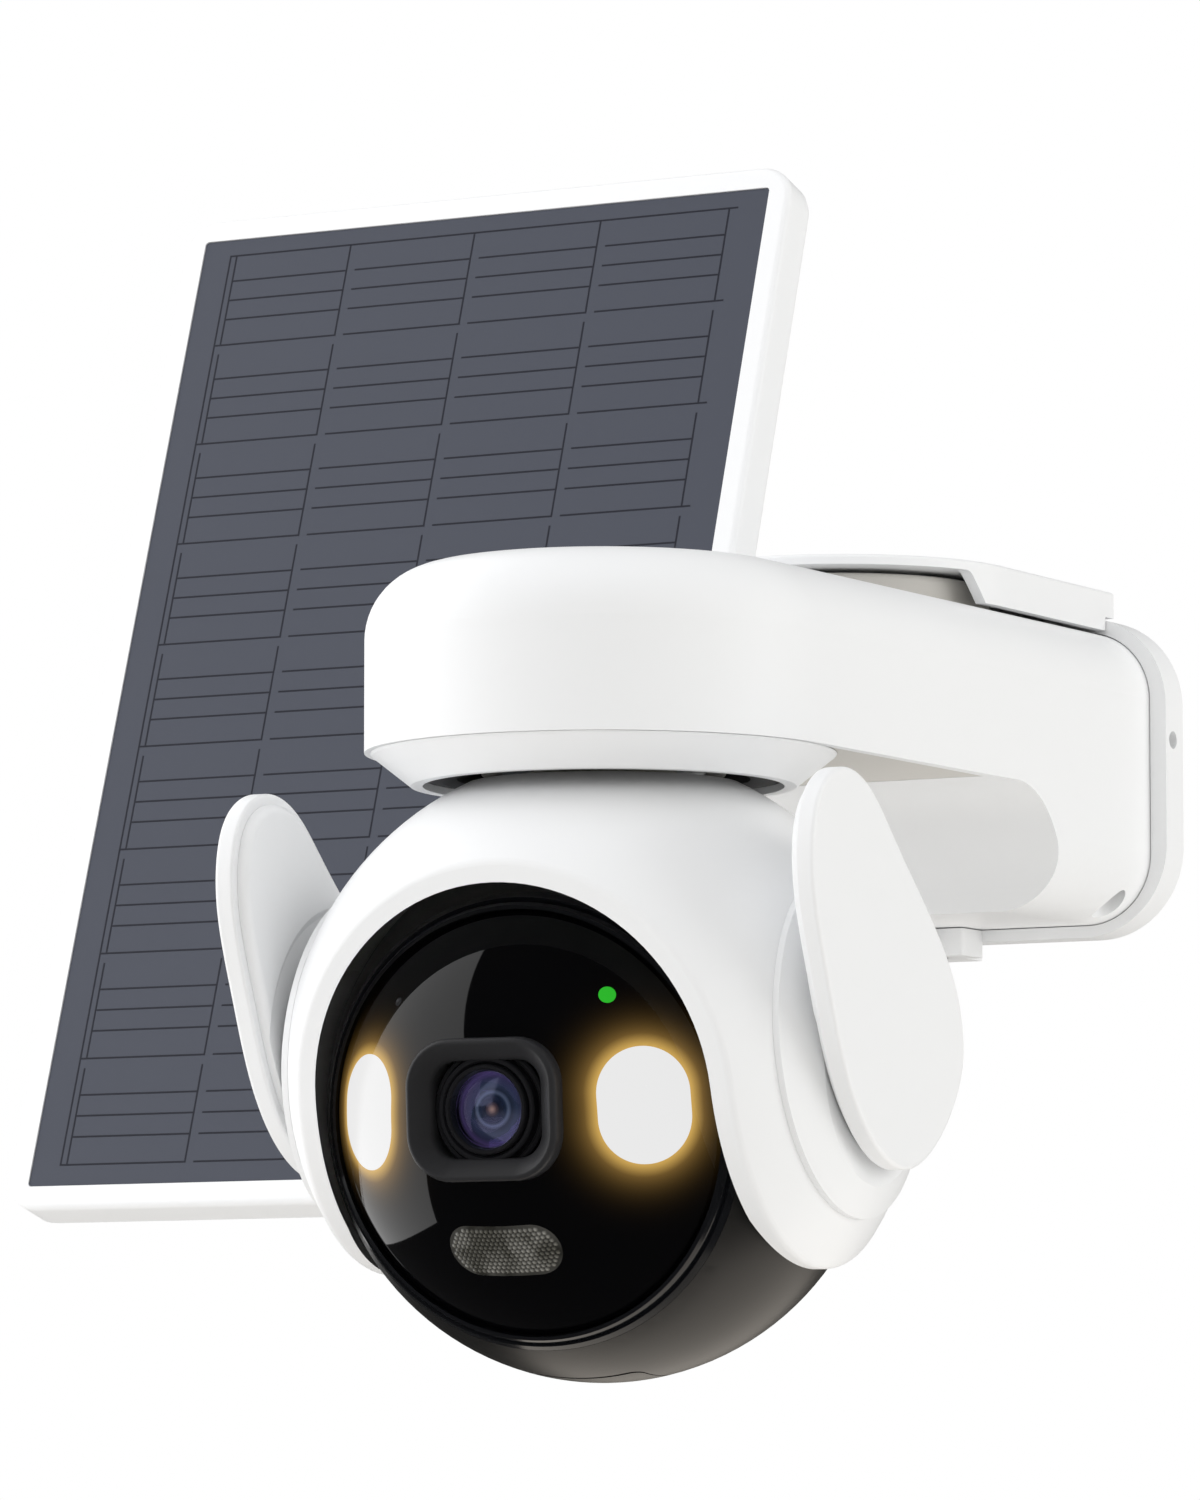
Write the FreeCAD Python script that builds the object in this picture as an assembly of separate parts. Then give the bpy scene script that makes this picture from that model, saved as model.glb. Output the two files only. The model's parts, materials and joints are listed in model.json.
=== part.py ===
"""Solar-powered pan and tilt security camera on a wall bracket, in millimetres.

Shapes are drawn about the centre of the camera ball: X to the right as the lens looks out,
Y back towards the wall, Z up. Saving moves them so that the origin is the centre of the
wall base's rear face.
"""
import FreeCAD, Part
import math
import os

# Places of the main groups
WALL_TO_PAN_AXIS = 162.0
BRACKET_CENTRE_ABOVE_BALL = 62.75
PAN_AT_REST = 3.5
TILT_AT_REST = 8.5

# Camera ball
BALL_R = 45.1
BALL_WALL = 2.2
BALL_SEAM_Y = -26.0
WINDOW_R = 43.9
WINDOW_WALL = 2.0
WINDOW_EDGE_Y = -27.35
WINDOW_RIM_R = 34.1
LENS_ELEVATION = 4.8
SPOT_AZIMUTH = 34.5
SPOT_ELEVATION = 4.0
SPOT_WIDTH = 15.0
SPOT_HEIGHT = 18.6
SENSOR_ELEVATION = -26.2
SENSOR_WIDTH = 19.6
SENSOR_HEIGHT = 9.3
DOT_AZIMUTH = 28.5
DOT_ELEVATION = 27.8
HOOD_WIDTH = 26.4
HOOD_HEIGHT = 22.6
HOOD_CORNER = 7.6
HOOD_FRONT_Y = -45.0
LENS_R = 6.1

# Yoke that carries the ball
YOKE_R = 51.6
YOKE_RISE = 6.0
YOKE_WALL = 2.5
YOKE_TOP_Z = 52.5
YOKE_SIDE_X = 47.8
YOKE_INNER_SIDE_X = 45.9
BALL_GAP_R = 46.2
VISOR_SLOPE = 0.2086
LOBE_R = 34.6
LOBE_Z = 7.4
YOKE_REAR_LOW_Z = -2.0
PIVOT_R = 4.5

# Antennas and the round covers they turn on
ANTENNA_AXIS_Z = 8.7
DISC_R = 28.0
DISC_THICK = 0.9
DISC_FLAT_THICK = 0.7
YOKE_LIP_R = 1.6
ANTENNA_OUTER_X = 53.4
ANTENNA_SEAM_X = 50.1
ANTENNA_INNER_X = 48.3
ANTENNA_INSET = 1.8
# Egg-shaped outline seen from the side, as (Y, Z) places it passes through
ANTENNA_OUTLINE = [(24.7, 9), (23, 16.5), (12.5, 29), (-3.5, 42), (-12, 48.6), (-21, 51.2),
                   (-31, 47.3), (-34.8, 36.5), (-29.6, 18.5), (-20.8, 1), (-11.5, -7.8),
                   (2, -11.5), (14.5, -6.3), (22, 1.4)]

# Camera body: round head, flat arm and rear block
BODY_HALF_X = 40.3
BODY_HEAD_R = 39.2
BODY_TOP_Z = 88.2
BODY_CORNER = 12.2
BODY_WALL = 2.4
ARM_UNDERSIDE_Z = 57.5
BLOCK_BOTTOM_Z = 36.7
BLOCK_FRONT_Y = 89.0
BLOCK_COVE_R = 17.0
BODY_REAR_Y = 127.7
BODY_SCREW_Y = 117.0
COVER_R = 37.3
CELL_R = 9.1
CELL_AXIS_Z = 74.5
CELL_PLACES = (-19.2, 0.0, 19.2)

# Pan drive
GEAR_MODULE = 0.8
PAN_TEETH = 55
TILT_TEETH = 30
PINION_TEETH = 15
MESH_PLAY = 0.1
BACKLASH = 0.22
PAN_SHAFT_R = 12.0
BEARING_OUTER_R = 17.0
RUNNING_GAP = 0.05
MOTOR_FOOT_Z = 66.2

# Wall bracket
PLATE_HALF_X = 43.5
PLATE_LOW_Z = 34.5
PLATE_HIGH_Z = 91.0
PLATE_FRONT_Y = 123.3
PLATE_REAR_Y = 130.3
PLATE_CORNER = 16.0
BASE_HALF_X = 24.0
BASE_HALF_Z = 22.0
WALL_HOLE_R = 2.25
WALL_HOLE_X = 17.0
WALL_HOLE_Z = 15.0
HOOD_CAP_HALF_X = 32.0
HOOD_CAP_TOP_Z = 95.7
HOOD_CAP_ARC_Y = 82.5
HOOD_CAP_REAR_Y = 126.5
CAP_SKIRT_Z = 88.6
CAP_WALL = 1.9
SKIRT_FRONT_Y = 73.0
SKIRT_LOW_Y = 77.0

# Solar panel, leaning back on a hinge behind it
PANEL_WIDTH = 133.0
PANEL_HEIGHT = 203.5
PANEL_DEPTH = 9.5
PANEL_BORDER = 4.5
PANEL_CORNER = 7.0
PANEL_RIGHT_X = -44.6
PANEL_FACE_Y = 119.9
PANEL_CENTRE_Z = 86.4
PANEL_LEAN = 17.8
CELL_COLUMNS = 4
CELL_ROWS = 9
CELL_GAP = 1.2
HINGE_Y = 146.5
HINGE_Z = 76.0
PANEL_ARM_Z = 58.0
HINGE_BOLT_R = 3.0

X = FreeCAD.Vector(1, 0, 0)
Y = FreeCAD.Vector(0, 1, 0)
Z = FreeCAD.Vector(0, 0, 1)
CENTRE = FreeCAD.Vector(0, 0, 0)
PANEL_CENTRE_X = PANEL_RIGHT_X - PANEL_WIDTH / 2


# ---- plain shapes ----

def box(x0, x1, y0, y1, z0, z1):
    return Part.makeBox(x1 - x0, y1 - y0, z1 - z0, FreeCAD.Vector(x0, y0, z0))


def rounded_box(x0, x1, y0, y1, z0, z1, corner, along):
    shape = box(x0, x1, y0, y1, z0, z1)
    edges = [edge for edge in shape.Edges if abs(edge.tangentAt(0).dot(along)) > 0.99]
    return shape.makeFillet(corner, edges)


def rod_x(radius, x0, x1, y=0.0, z=0.0):
    return Part.makeCylinder(radius, x1 - x0, FreeCAD.Vector(x0, y, z), X)


def rod_y(radius, y0, y1, x=0.0, z=0.0):
    return Part.makeCylinder(radius, y1 - y0, FreeCAD.Vector(x, y0, z), Y)


def rod_z(radius, z0, z1, x=0.0, y=0.0):
    return Part.makeCylinder(radius, z1 - z0, FreeCAD.Vector(x, y, z0), Z)


def ball(radius, z=0.0):
    return Part.makeSphere(radius, FreeCAD.Vector(0, 0, z))


def turned(points, about):
    """A ring or disc from (radius, place along the axis) points, about Z or about Y."""
    if about == Z:
        corners = [FreeCAD.Vector(r, 0, a) for r, a in points]
    else:
        corners = [FreeCAD.Vector(r, a, 0) for r, a in points]
    face = Part.Face(Part.makePolygon(corners + corners[:1]))
    return face.revolve(CENTRE, about, 360)


def prism_x(points, x0, x1):
    corners = [FreeCAD.Vector(x0, y, z) for y, z in points]
    face = Part.Face(Part.makePolygon(corners + corners[:1]))
    return face.extrude(FreeCAD.Vector(x1 - x0, 0, 0))


def fused(shapes):
    whole = shapes[0]
    for shape in shapes[1:]:
        whole = whole.fuse(shape)
    return whole.removeSplitter()


def turn(shape, axis, degrees, about=CENTRE):
    copy = shape.copy()
    copy.rotate(about, axis, degrees)
    return copy


def mirror_x(shape):
    return shape.mirror(CENTRE, X)


def aimed(shape, azimuth, elevation):
    """Turns a shape that points along -Y so that it points at a place on the ball."""
    return turn(turn(shape, X, -elevation), Z, azimuth)


# ---- saving ----

def save(name, shape):
    if isinstance(shape, list):
        shape = Part.makeCompound(shape)
    placed = shape.copy()
    placed.translate(FreeCAD.Vector(0, -WALL_TO_PAN_AXIS, -BRACKET_CENTRE_ABOVE_BALL))
    placed.exportStep("parts/" + name + ".step")


def save_on_yoke(name, shape):
    if isinstance(shape, list):
        shape = Part.makeCompound(shape)
    save(name, turn(shape, Z, PAN_AT_REST))


def save_on_ball(name, shape):
    if isinstance(shape, list):
        shape = Part.makeCompound(shape)
    save_on_yoke(name, turn(shape, X, TILT_AT_REST))


def save_on_panel(name, shape):
    if isinstance(shape, list):
        shape = Part.makeCompound(shape)
    leaning = turn(shape, X, -PANEL_LEAN)
    leaning.translate(FreeCAD.Vector(PANEL_CENTRE_X, PANEL_FACE_Y, PANEL_CENTRE_Z))
    save(name, leaning)


# ---- gears ----

def pitch_radius(teeth):
    return GEAR_MODULE * teeth / 2


def spur_gear(teeth, z0, z1, first_tooth):
    """Involute spur gear about Z with a tooth centred on the angle first_tooth."""
    pitch = pitch_radius(teeth)
    pressure = math.radians(20)
    base = pitch * math.cos(pressure)
    tip = pitch + 0.8 * GEAR_MODULE
    root = pitch - 1.1 * GEAR_MODULE
    half_at_pitch = math.pi / (2 * teeth) - BACKLASH / (2 * pitch)
    flank = [max(base, root) + (tip - max(base, root)) * step / 4 for step in range(5)]
    half_angles = []
    for radius in flank:
        roll = math.acos(min(1.0, base / radius))
        widening = (math.tan(pressure) - pressure) - (math.tan(roll) - roll)
        half_angles.append(half_at_pitch + widening)
    side = [(root, half_angles[0])] + list(zip(flank, half_angles))
    points = []
    for tooth in range(teeth):
        middle = math.radians(first_tooth) + 2 * math.pi * tooth / teeth
        for radius, half in side:
            points.append((radius, middle - half))
        for radius, half in reversed(side):
            points.append((radius, middle + half))
    corners = [FreeCAD.Vector(r * math.cos(a), r * math.sin(a), z0) for r, a in points]
    face = Part.Face(Part.makePolygon(corners + corners[:1]))
    return face.extrude(FreeCAD.Vector(0, 0, z1 - z0))


# ---- camera body ----

def body_form(inset):
    """Outer form of the body, or the same form drawn in by the wall thickness."""
    corner = BODY_CORNER - inset
    top = BODY_TOP_Z - inset
    underside = ARM_UNDERSIDE_Z + inset
    head = rod_z(BODY_HEAD_R - inset, underside, top)
    rim = [edge for edge in head.Edges if abs(edge.BoundBox.ZMin - top) < 0.01
           and edge.BoundBox.ZLength < 0.01]
    head = head.makeFillet(corner, rim)
    ends = []
    for half, y in ((BODY_HEAD_R - inset, 0), (BODY_HALF_X - inset, BODY_REAR_Y - BODY_WALL)):
        slab = rounded_box(-half, half, y, y + 1, BLOCK_BOTTOM_Z + inset, top, corner, Y)
        ends.append([face for face in slab.Faces if face.BoundBox.YMax < y + 0.01][0].OuterWire)
    arm = Part.makeLoft(ends, True, True)
    front = BLOCK_FRONT_Y + inset
    cove = BLOCK_COVE_R + inset
    below = box(-60, 60, -60, front, 0, underside)
    cove_corner = box(-60, 60, front - cove, front, underside - cove, underside)
    cove_rod = rod_x(cove, -60, 60, front - cove, underside - cove)
    below = below.cut(cove_corner.cut(cove_rod))
    return head.fuse(arm.cut(below)).removeSplitter()


def cover_outline(radius, z0, z1):
    back = box(-radius, radius, 0, 64, z0, z1)
    return rod_z(radius, z0, z1).fuse(back).removeSplitter()


def body_upper_shell():
    shell = body_form(0).cut(body_form(BODY_WALL))
    shell = shell.cut(cover_outline(COVER_R + 0.1, 50, ARM_UNDERSIDE_Z + BODY_WALL + 0.1))
    for y in (60.0, 104.0):
        rib = box(-30, 30, y - 1.5, y + 1.5, CELL_AXIS_Z, BODY_TOP_Z - BODY_WALL + 0.5)
        for x in CELL_PLACES:
            rib = rib.cut(rod_y(CELL_R + 0.05, 40, 120, x, CELL_AXIS_Z))
        shell = shell.fuse(rib)
    for side in (-1, 1):
        pillar = rod_z(4.6, 30, 58, side * 34.8, BODY_SCREW_Y).common(body_form(0))
        shell = shell.fuse(pillar)
        shell = shell.cut(rod_z(2.9, 30, 45, side * 35.2, BODY_SCREW_Y))
        shell = shell.cut(rod_z(1.5, 44, 56, side * 35.2, BODY_SCREW_Y))
    shell = shell.cut(rounded_box(-28.3, -11.7, 100.2, 109.8, 30, 38.0, 2.0, Z))
    shell = shell.cut(rounded_box(-24.8, -15.2, 103.2, 106.8, 37, 40, 1.7, Z))
    shell = shell.cut(rod_z(2.1, 30, 40, 0, 120.0))
    return shell.removeSplitter()


def body_lower_cover():
    plate = cover_outline(COVER_R, ARM_UNDERSIDE_Z + 0.1, ARM_UNDERSIDE_Z + BODY_WALL)
    collar = rod_z(BEARING_OUTER_R + 3, 54, ARM_UNDERSIDE_Z + BODY_WALL)
    plate = plate.fuse(collar)
    for x in (-15.5, 15.5):
        plate = plate.fuse(rod_z(2.0, ARM_UNDERSIDE_Z + 1, MOTOR_FOOT_Z, x, PAN_PINION_Y))
    return plate.cut(rod_z(BEARING_OUTER_R, 50, 62)).removeSplitter()


def neck_ring():
    low = ARM_UNDERSIDE_Z - 5.4
    high = ARM_UNDERSIDE_Z - 0.05
    return turned([(29.6, low), (31.6, low), (37.9, high - 0.4), (38.2, high), (29.6, high)], Z)


def neck_seal():
    return turned([(24.0, 53.3), (26.5, 52.9), (29.5, 53.3), (29.5, 56.6), (24.0, 56.6)], Z)


def pan_bearing():
    ring = rod_z(BEARING_OUTER_R, 54.3, 59.6)
    return ring.cut(rod_z(PAN_SHAFT_R + RUNNING_GAP, 50, 62))


def body_rear_cover():
    front = BODY_REAR_Y - BODY_WALL + 0.05
    return rounded_box(-BODY_HALF_X, BODY_HALF_X, front, BODY_REAR_Y,
                       BLOCK_BOTTOM_Z, BODY_TOP_Z, BODY_CORNER, Y)


def body_screws():
    screws = []
    for side in (-1, 1):
        head = rod_z(2.7, 43.6, 45.0, side * 35.2, BODY_SCREW_Y)
        slot = box(side * 35.2 - 1.7, side * 35.2 + 1.7, BODY_SCREW_Y - 0.4, BODY_SCREW_Y + 0.4,
                   43, 44.2)
        shaft = rod_z(1.45, 44.9, 55.5, side * 35.2, BODY_SCREW_Y)
        screws.append(head.cut(slot).fuse(shaft).removeSplitter())
    return screws


def locating_hub():
    """Round hub on top of the body that slides under the bracket's hood."""
    hub = rod_z(26.5, BODY_TOP_Z + 0.02, 93.2, 0, HOOD_CAP_ARC_Y)
    rim = [edge for edge in hub.Edges if abs(edge.BoundBox.ZMin - 93.2) < 0.01]
    return hub.makeFillet(1.0, rim)


def battery_cells():
    cells = []
    for x in CELL_PLACES:
        can = rod_y(CELL_R, 50, 114.2, x, CELL_AXIS_Z)
        cells.append(can.fuse(rod_y(3.0, 48.8, 50.2, x, CELL_AXIS_Z)).removeSplitter())
    return cells


def power_board():
    board = box(-29, 29, 93.5, 121, 50.0, 51.6)
    chip = box(6, 18, 100, 112, 51.6, 53.0)
    coil = rod_z(5, 51.6, 56.5, -15, 112)
    return board.fuse(chip).fuse(coil).removeSplitter()


def charging_port():
    outer = rounded_box(-24.5, -15.5, 103.4, 106.6, 38.6, 49.95, 1.5, Z)
    mouth = rounded_box(-24.1, -15.9, 103.8, 106.2, 38.0, 45.0, 1.1, Z)
    tongue = box(-23.0, -17.0, 104.7, 105.3, 40.0, 45.0)
    return outer.cut(mouth).fuse(tongue).removeSplitter()


def port_cover():
    flap = rounded_box(-28.0, -12.0, 100.5, 109.5, BLOCK_BOTTOM_Z, 37.9, 1.8, Z)
    plug = rounded_box(-23.8, -16.2, 104.0, 106.0, 37.8, 38.5, 0.95, Z)
    return flap.fuse(plug).removeSplitter()


PAN_PINION_Y = pitch_radius(PAN_TEETH) + pitch_radius(PINION_TEETH) + MESH_PLAY


def pan_motor():
    can = rod_z(14, MOTOR_FOOT_Z, 84.5, 0, PAN_PINION_Y)
    ears = box(-17.5, 17.5, PAN_PINION_Y - 3.5, PAN_PINION_Y + 3.5, MOTOR_FOOT_Z, 67.2)
    motor = can.fuse(ears)
    return motor.cut(rod_z(2.5 + RUNNING_GAP, 60, 74, 0, PAN_PINION_Y)).removeSplitter()


def pan_pinion():
    gear = spur_gear(PINION_TEETH, 61.2, 65.8, -90 + 180 / PINION_TEETH)
    gear = gear.fuse(rod_z(2.5, 61.2, 73.5))
    gear.translate(FreeCAD.Vector(0, PAN_PINION_Y, 0))
    return gear


# ---- yoke ----

def visor_front_y(z):
    """Front edge of the yoke, a line that leaves the lobe's circle tangentially."""
    reach = LOBE_R * math.hypot(1, VISOR_SLOPE) - VISOR_SLOPE * LOBE_Z
    return -reach - VISOR_SLOPE * z


def yoke_side_profile(grow):
    """What is kept of the yoke's dome, seen from the side: hood above, round lobe below."""
    tangent_z = LOBE_Z - LOBE_R * VISOR_SLOPE / math.hypot(1, VISOR_SLOPE)
    hood = prism_x([(visor_front_y(tangent_z), tangent_z), (visor_front_y(70), 70), (70, 70),
                    (70, YOKE_REAR_LOW_Z), (20, YOKE_REAR_LOW_Z), (0, tangent_z)], -70, 70)
    return hood.fuse(rod_x(LOBE_R + grow, -70, 70, 0, LOBE_Z)).removeSplitter()


def round_lip(shell):
    """Rounds the dome's outer edge all round the opening and the lobes."""
    centre = FreeCAD.Vector(0, 0, YOKE_RISE)
    lip = []
    for edge in shell.Edges:
        middle = edge.valueAt((edge.FirstParameter + edge.LastParameter) / 2)
        on_dome = abs(middle.distanceToPoint(centre) - YOKE_R) < 0.01
        if on_dome and edge.BoundBox.ZMax < 38.5 and abs(middle.y) > 0.01:
            lip.append(edge)
    return shell.makeFillet(YOKE_LIP_R, lip).Solids[0]


def yoke_shell():
    outer = ball(YOKE_R, YOKE_RISE).common(box(-YOKE_SIDE_X, YOKE_SIDE_X, -60, 60, -60, YOKE_TOP_Z))
    dome = outer.common(yoke_side_profile(0))
    ceiling = YOKE_TOP_Z - 3.0
    room = ball(YOKE_R - YOKE_WALL, YOKE_RISE).fuse(ball(BALL_GAP_R))
    room = room.common(box(-YOKE_INNER_SIDE_X, YOKE_INNER_SIDE_X, -60, 60, -60, ceiling))
    shell = round_lip(dome.cut(room).removeSplitter())
    shell = shell.cut(rod_z(6.3, 40, 60))
    shell = shell.cut(rod_x(PIVOT_R + 0.02, -50, 50))
    shell = shell.cut(rod_x(3.1, -50, 50, 0, ANTENNA_AXIS_Z))
    return shell.removeSplitter()


def pan_gear():
    gear = spur_gear(PAN_TEETH, 61.2, 65.8, 90 - PAN_AT_REST)
    gear = gear.common(rod_z(30, 60, 70)).fuse(rod_z(PAN_SHAFT_R, YOKE_TOP_Z + 0.02, 62))
    gear = gear.cut(rod_z(6.3, 50, 70))
    return gear.removeSplitter()


def slip_ring():
    body = rod_z(6.0, 46, 69)
    return body.fuse(rod_z(8.0, 45.2, 46.4)).removeSplitter()


def side_disc():
    outer = ball(YOKE_R + DISC_THICK, YOKE_RISE)
    outer = outer.common(box(0, YOKE_SIDE_X + DISC_FLAT_THICK, -60, 60, -60, 60))
    inner = ball(YOKE_R + 0.02, YOKE_RISE).common(box(-60, YOKE_SIDE_X + 0.02, -60, 60, -60, 60))
    disc = outer.cut(inner).common(rod_x(DISC_R, 30, 60, 0, ANTENNA_AXIS_Z))
    return disc.cut(rod_x(3.0 + RUNNING_GAP, 30, 60, 0, ANTENNA_AXIS_Z)).removeSplitter()


def pivot_pin():
    return rod_x(PIVOT_R, 26.0, YOKE_SIDE_X)


TILT_GEAR_X0 = 28.0
TILT_GEAR_X1 = 32.0
TILT_PINION_Y = pitch_radius(TILT_TEETH) + pitch_radius(PINION_TEETH) + MESH_PLAY


def stand_along_x(shape):
    """Turns a shape that was drawn about Z so that its axis is X and its X axis is Y."""
    return turn(turn(shape, Z, 90), Y, 90)


def gear_along_x(teeth, first_tooth_from_y):
    gear = spur_gear(teeth, TILT_GEAR_X0, TILT_GEAR_X1, first_tooth_from_y)
    return stand_along_x(gear)


def tilt_gear():
    gear = gear_along_x(TILT_TEETH, TILT_AT_REST)
    return gear.cut(rod_x(PIVOT_R + 0.01, 20, 40)).removeSplitter()


# ---- antennas ----

def smooth_loop(places):
    curve = Part.BSplineCurve()
    curve.interpolate(Points=places, PeriodicFlag=True)
    return curve


def antenna_plate(inset, x0, x1):
    """Flat plate with the antenna's egg-shaped outline, drawn in by the inset."""
    outline = smooth_loop([FreeCAD.Vector(x0, y, z) for y, z in ANTENNA_OUTLINE])
    first = outline.FirstParameter
    span = outline.LastParameter - first
    places = []
    for step in range(24):
        at = first + span * step / 24
        inward = X.cross(outline.tangent(at)[0])
        places.append(outline.value(at) + inward * inset)
    face = Part.Face(Part.Wire(smooth_loop(places).toShape()))
    return face.extrude(FreeCAD.Vector(x1 - x0, 0, 0))


def antenna_outer():
    shell = antenna_plate(0, ANTENNA_SEAM_X, ANTENNA_OUTER_X)
    face = [edge for edge in shell.Edges if edge.BoundBox.XMin > ANTENNA_OUTER_X - 0.01]
    shell = shell.makeFillet(0.7, face)
    back = [edge for edge in shell.Edges if edge.BoundBox.XMax < ANTENNA_SEAM_X + 0.01]
    shell = shell.makeFillet(0.5, back).Solids[0]
    return shell.cut(antenna_plate(2.8, 50.0, ANTENNA_OUTER_X - 1.3))


def antenna_inner():
    """Domed cover that closes the outer shell, cleared for the side disc it turns over."""
    cover = antenna_plate(ANTENNA_INSET, ANTENNA_INNER_X, ANTENNA_SEAM_X - 0.02)
    rim = [edge for edge in cover.Edges if edge.BoundBox.XMax < ANTENNA_INNER_X + 0.01]
    cover = cover.makeFillet(1.5, rim).Solids[0]
    cover = cover.fuse(antenna_plate(2.9, ANTENNA_SEAM_X - 0.1, 51.2))
    relief = Part.makeSphere(54.5, FreeCAD.Vector(0, 0, ANTENNA_AXIS_Z))
    cover = cover.cut(relief.common(box(40, 48.95, -60, 60, -60, 70)))
    pin = rod_x(3.0, 46.2, 51.2, 0, ANTENNA_AXIS_Z)
    return cover.fuse(pin).removeSplitter()


# ---- camera ball ----

def stadium(width, height, y0, y1):
    radius = min(width, height) / 2 - 0.05
    return rounded_box(-width / 2, width / 2, y0, y1, -height / 2, height / 2, radius, Y)


def ball_rear_shell():
    shell = ball(BALL_R).cut(ball(BALL_R - BALL_WALL)).common(box(-60, 60, BALL_SEAM_Y, 60, -60, 60))
    shell = shell.cut(rod_x(7.0, -60, 60))
    shell = shell.cut(rounded_box(-10.2, 10.2, -14.4, -1.8, -60, -30, 2.2, Z))
    for angle in range(0, 360, 45):
        x = 6 * math.cos(math.radians(angle))
        z = 6 * math.sin(math.radians(angle))
        shell = shell.cut(rod_y(0.8, 30, 60, x, z - 14))
    return shell.cut(rod_y(0.8, 30, 60, 0, -14)).removeSplitter()


def front_bezel():
    return turned([(31.0, BALL_SEAM_Y - 0.05), (36.8, BALL_SEAM_Y - 0.05), (36.05, -27.15),
                   (35.6, -26.95), (35.3, -27.75), (34.9, -28.45), (34.3, -28.6),
                   (34.25, -27.25), (31.0, -27.25)], Y)


def hood_prism(grow, y0, y1):
    width = HOOD_WIDTH / 2 + grow
    height = HOOD_HEIGHT / 2 + grow
    return rounded_box(-width, width, y0, y1, -height, height, HOOD_CORNER + grow, Y)


def on_lens_axis(shape):
    return aimed(shape, 0, LENS_ELEVATION)


def front_window():
    dome = ball(WINDOW_R).cut(ball(WINDOW_R - WINDOW_WALL))
    dome = dome.common(rod_y(WINDOW_RIM_R, -60, WINDOW_EDGE_Y))
    dome = dome.cut(on_lens_axis(hood_prism(-1.2, -60, -20)))
    for side in (-1, 1):
        dome = dome.cut(aimed(stadium(SPOT_WIDTH + 0.2, SPOT_HEIGHT + 0.2, -60, -20),
                              side * SPOT_AZIMUTH, SPOT_ELEVATION))
    dome = dome.cut(aimed(stadium(SENSOR_WIDTH + 0.2, SENSOR_HEIGHT + 0.2, -60, -20),
                          0, SENSOR_ELEVATION))
    dome = dome.cut(aimed(rod_y(1.45, -60, -20), DOT_AZIMUTH, DOT_ELEVATION))
    return dome.cut(aimed(rod_y(0.5, -60, -20), -DOT_AZIMUTH, DOT_ELEVATION)).removeSplitter()


def flush_lens(cutter, thick):
    skin = ball(WINDOW_R + 0.03).cut(ball(WINDOW_R - thick))
    return skin.common(cutter)


def spotlight_windows():
    return [flush_lens(aimed(stadium(SPOT_WIDTH, SPOT_HEIGHT, -60, -20), side * SPOT_AZIMUTH,
                             SPOT_ELEVATION), 1.6) for side in (-1, 1)]


def spotlight_boards():
    boards = []
    for side in (-1, 1):
        plate = box(-6.0, 6.0, -37.6, -36.2, -8.0, 8.0)
        for z in (-4.5, 0, 4.5):
            plate = plate.fuse(box(-1.8, 1.8, -38.6, -37.5, z - 1.4, z + 1.4))
        boards.append(aimed(plate.removeSplitter(), side * SPOT_AZIMUTH, SPOT_ELEVATION))
    return boards


def motion_sensor_window():
    return flush_lens(aimed(stadium(SENSOR_WIDTH, SENSOR_HEIGHT, -60, -20), 0, SENSOR_ELEVATION),
                      1.4)


def status_light():
    return aimed(rod_y(1.4, -WINDOW_R - 0.02, -37), DOT_AZIMUTH, DOT_ELEVATION)


def lens_hood():
    frame = hood_prism(-1.35, HOOD_FRONT_Y + 3.2, -38.5)
    frame = frame.fuse(hood_prism(0, HOOD_FRONT_Y, HOOD_FRONT_Y + 3.3))
    front = [edge for edge in frame.Edges if edge.BoundBox.YMax < HOOD_FRONT_Y + 0.01]
    frame = frame.makeFillet(1.0, front)
    frame = frame.cut(ball(WINDOW_R + 0.02).cut(hood_prism(-1.35, -60, -20)))
    mouth = hood_prism(-2.8, -60, -42.0)
    throat = rod_y(9.0, -60, -20)
    return on_lens_axis(frame.cut(mouth).cut(throat).removeSplitter())


def lens_barrel():
    barrel = rod_y(8.6, -40.5, -30)
    barrel = barrel.fuse(rod_y(7.6, -42.6, -40.4)).fuse(rod_y(9.8, -31, -23.05))
    barrel = barrel.cut(rod_y(LENS_R + 0.05, -50, -36)).cut(rod_y(4.5, -37, -20))
    return on_lens_axis(barrel.removeSplitter())


def lens_glass():
    dome = Part.makeSphere(10.0, FreeCAD.Vector(0, -33.2, 0))
    disc = rod_y(LENS_R, -50, -36.1)
    return on_lens_axis(dome.common(disc))


def sensor_board():
    board = box(-12, 12, -21.9, -20.5, -12, 12)
    chip = box(-3.5, 3.5, -23.0, -21.8, -3.0, 3.0)
    return on_lens_axis(board.fuse(chip).removeSplitter())


POST_PLACES = ((-10, -10), (10, -10), (-10, 10), (10, 10))


def main_board():
    """Round board with its chips, the memory card socket and the reset switch."""
    board = rod_y(32, -8.0, -6.4)
    for side in (-1, 1):
        board = board.cut(rounded_box(side * 32 - 7, side * 32 + 7, -10, 0, -12, 12, 1, Y))
    for x0, z0, size in ((-6, 12, 12), (12, -16, 9), (-21, -14, 8)):
        board = board.fuse(box(x0, x0 + size, -9.4, -7.9, z0, z0 + size))
    socket = box(-7.5, 7.5, -13.0, -7.9, -36.5, -22.0)
    board = board.fuse(socket).fuse(box(-3, 3, -9, -3, -36.0, -31.0))
    board = board.cut(box(-5.6, 5.6, -12.2, -11.2, -40, -24.2))
    for x, z in POST_PLACES:
        board = board.cut(on_lens_axis(rod_y(1.8, -16, 0, x, z)))
    return board.removeSplitter()


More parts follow.
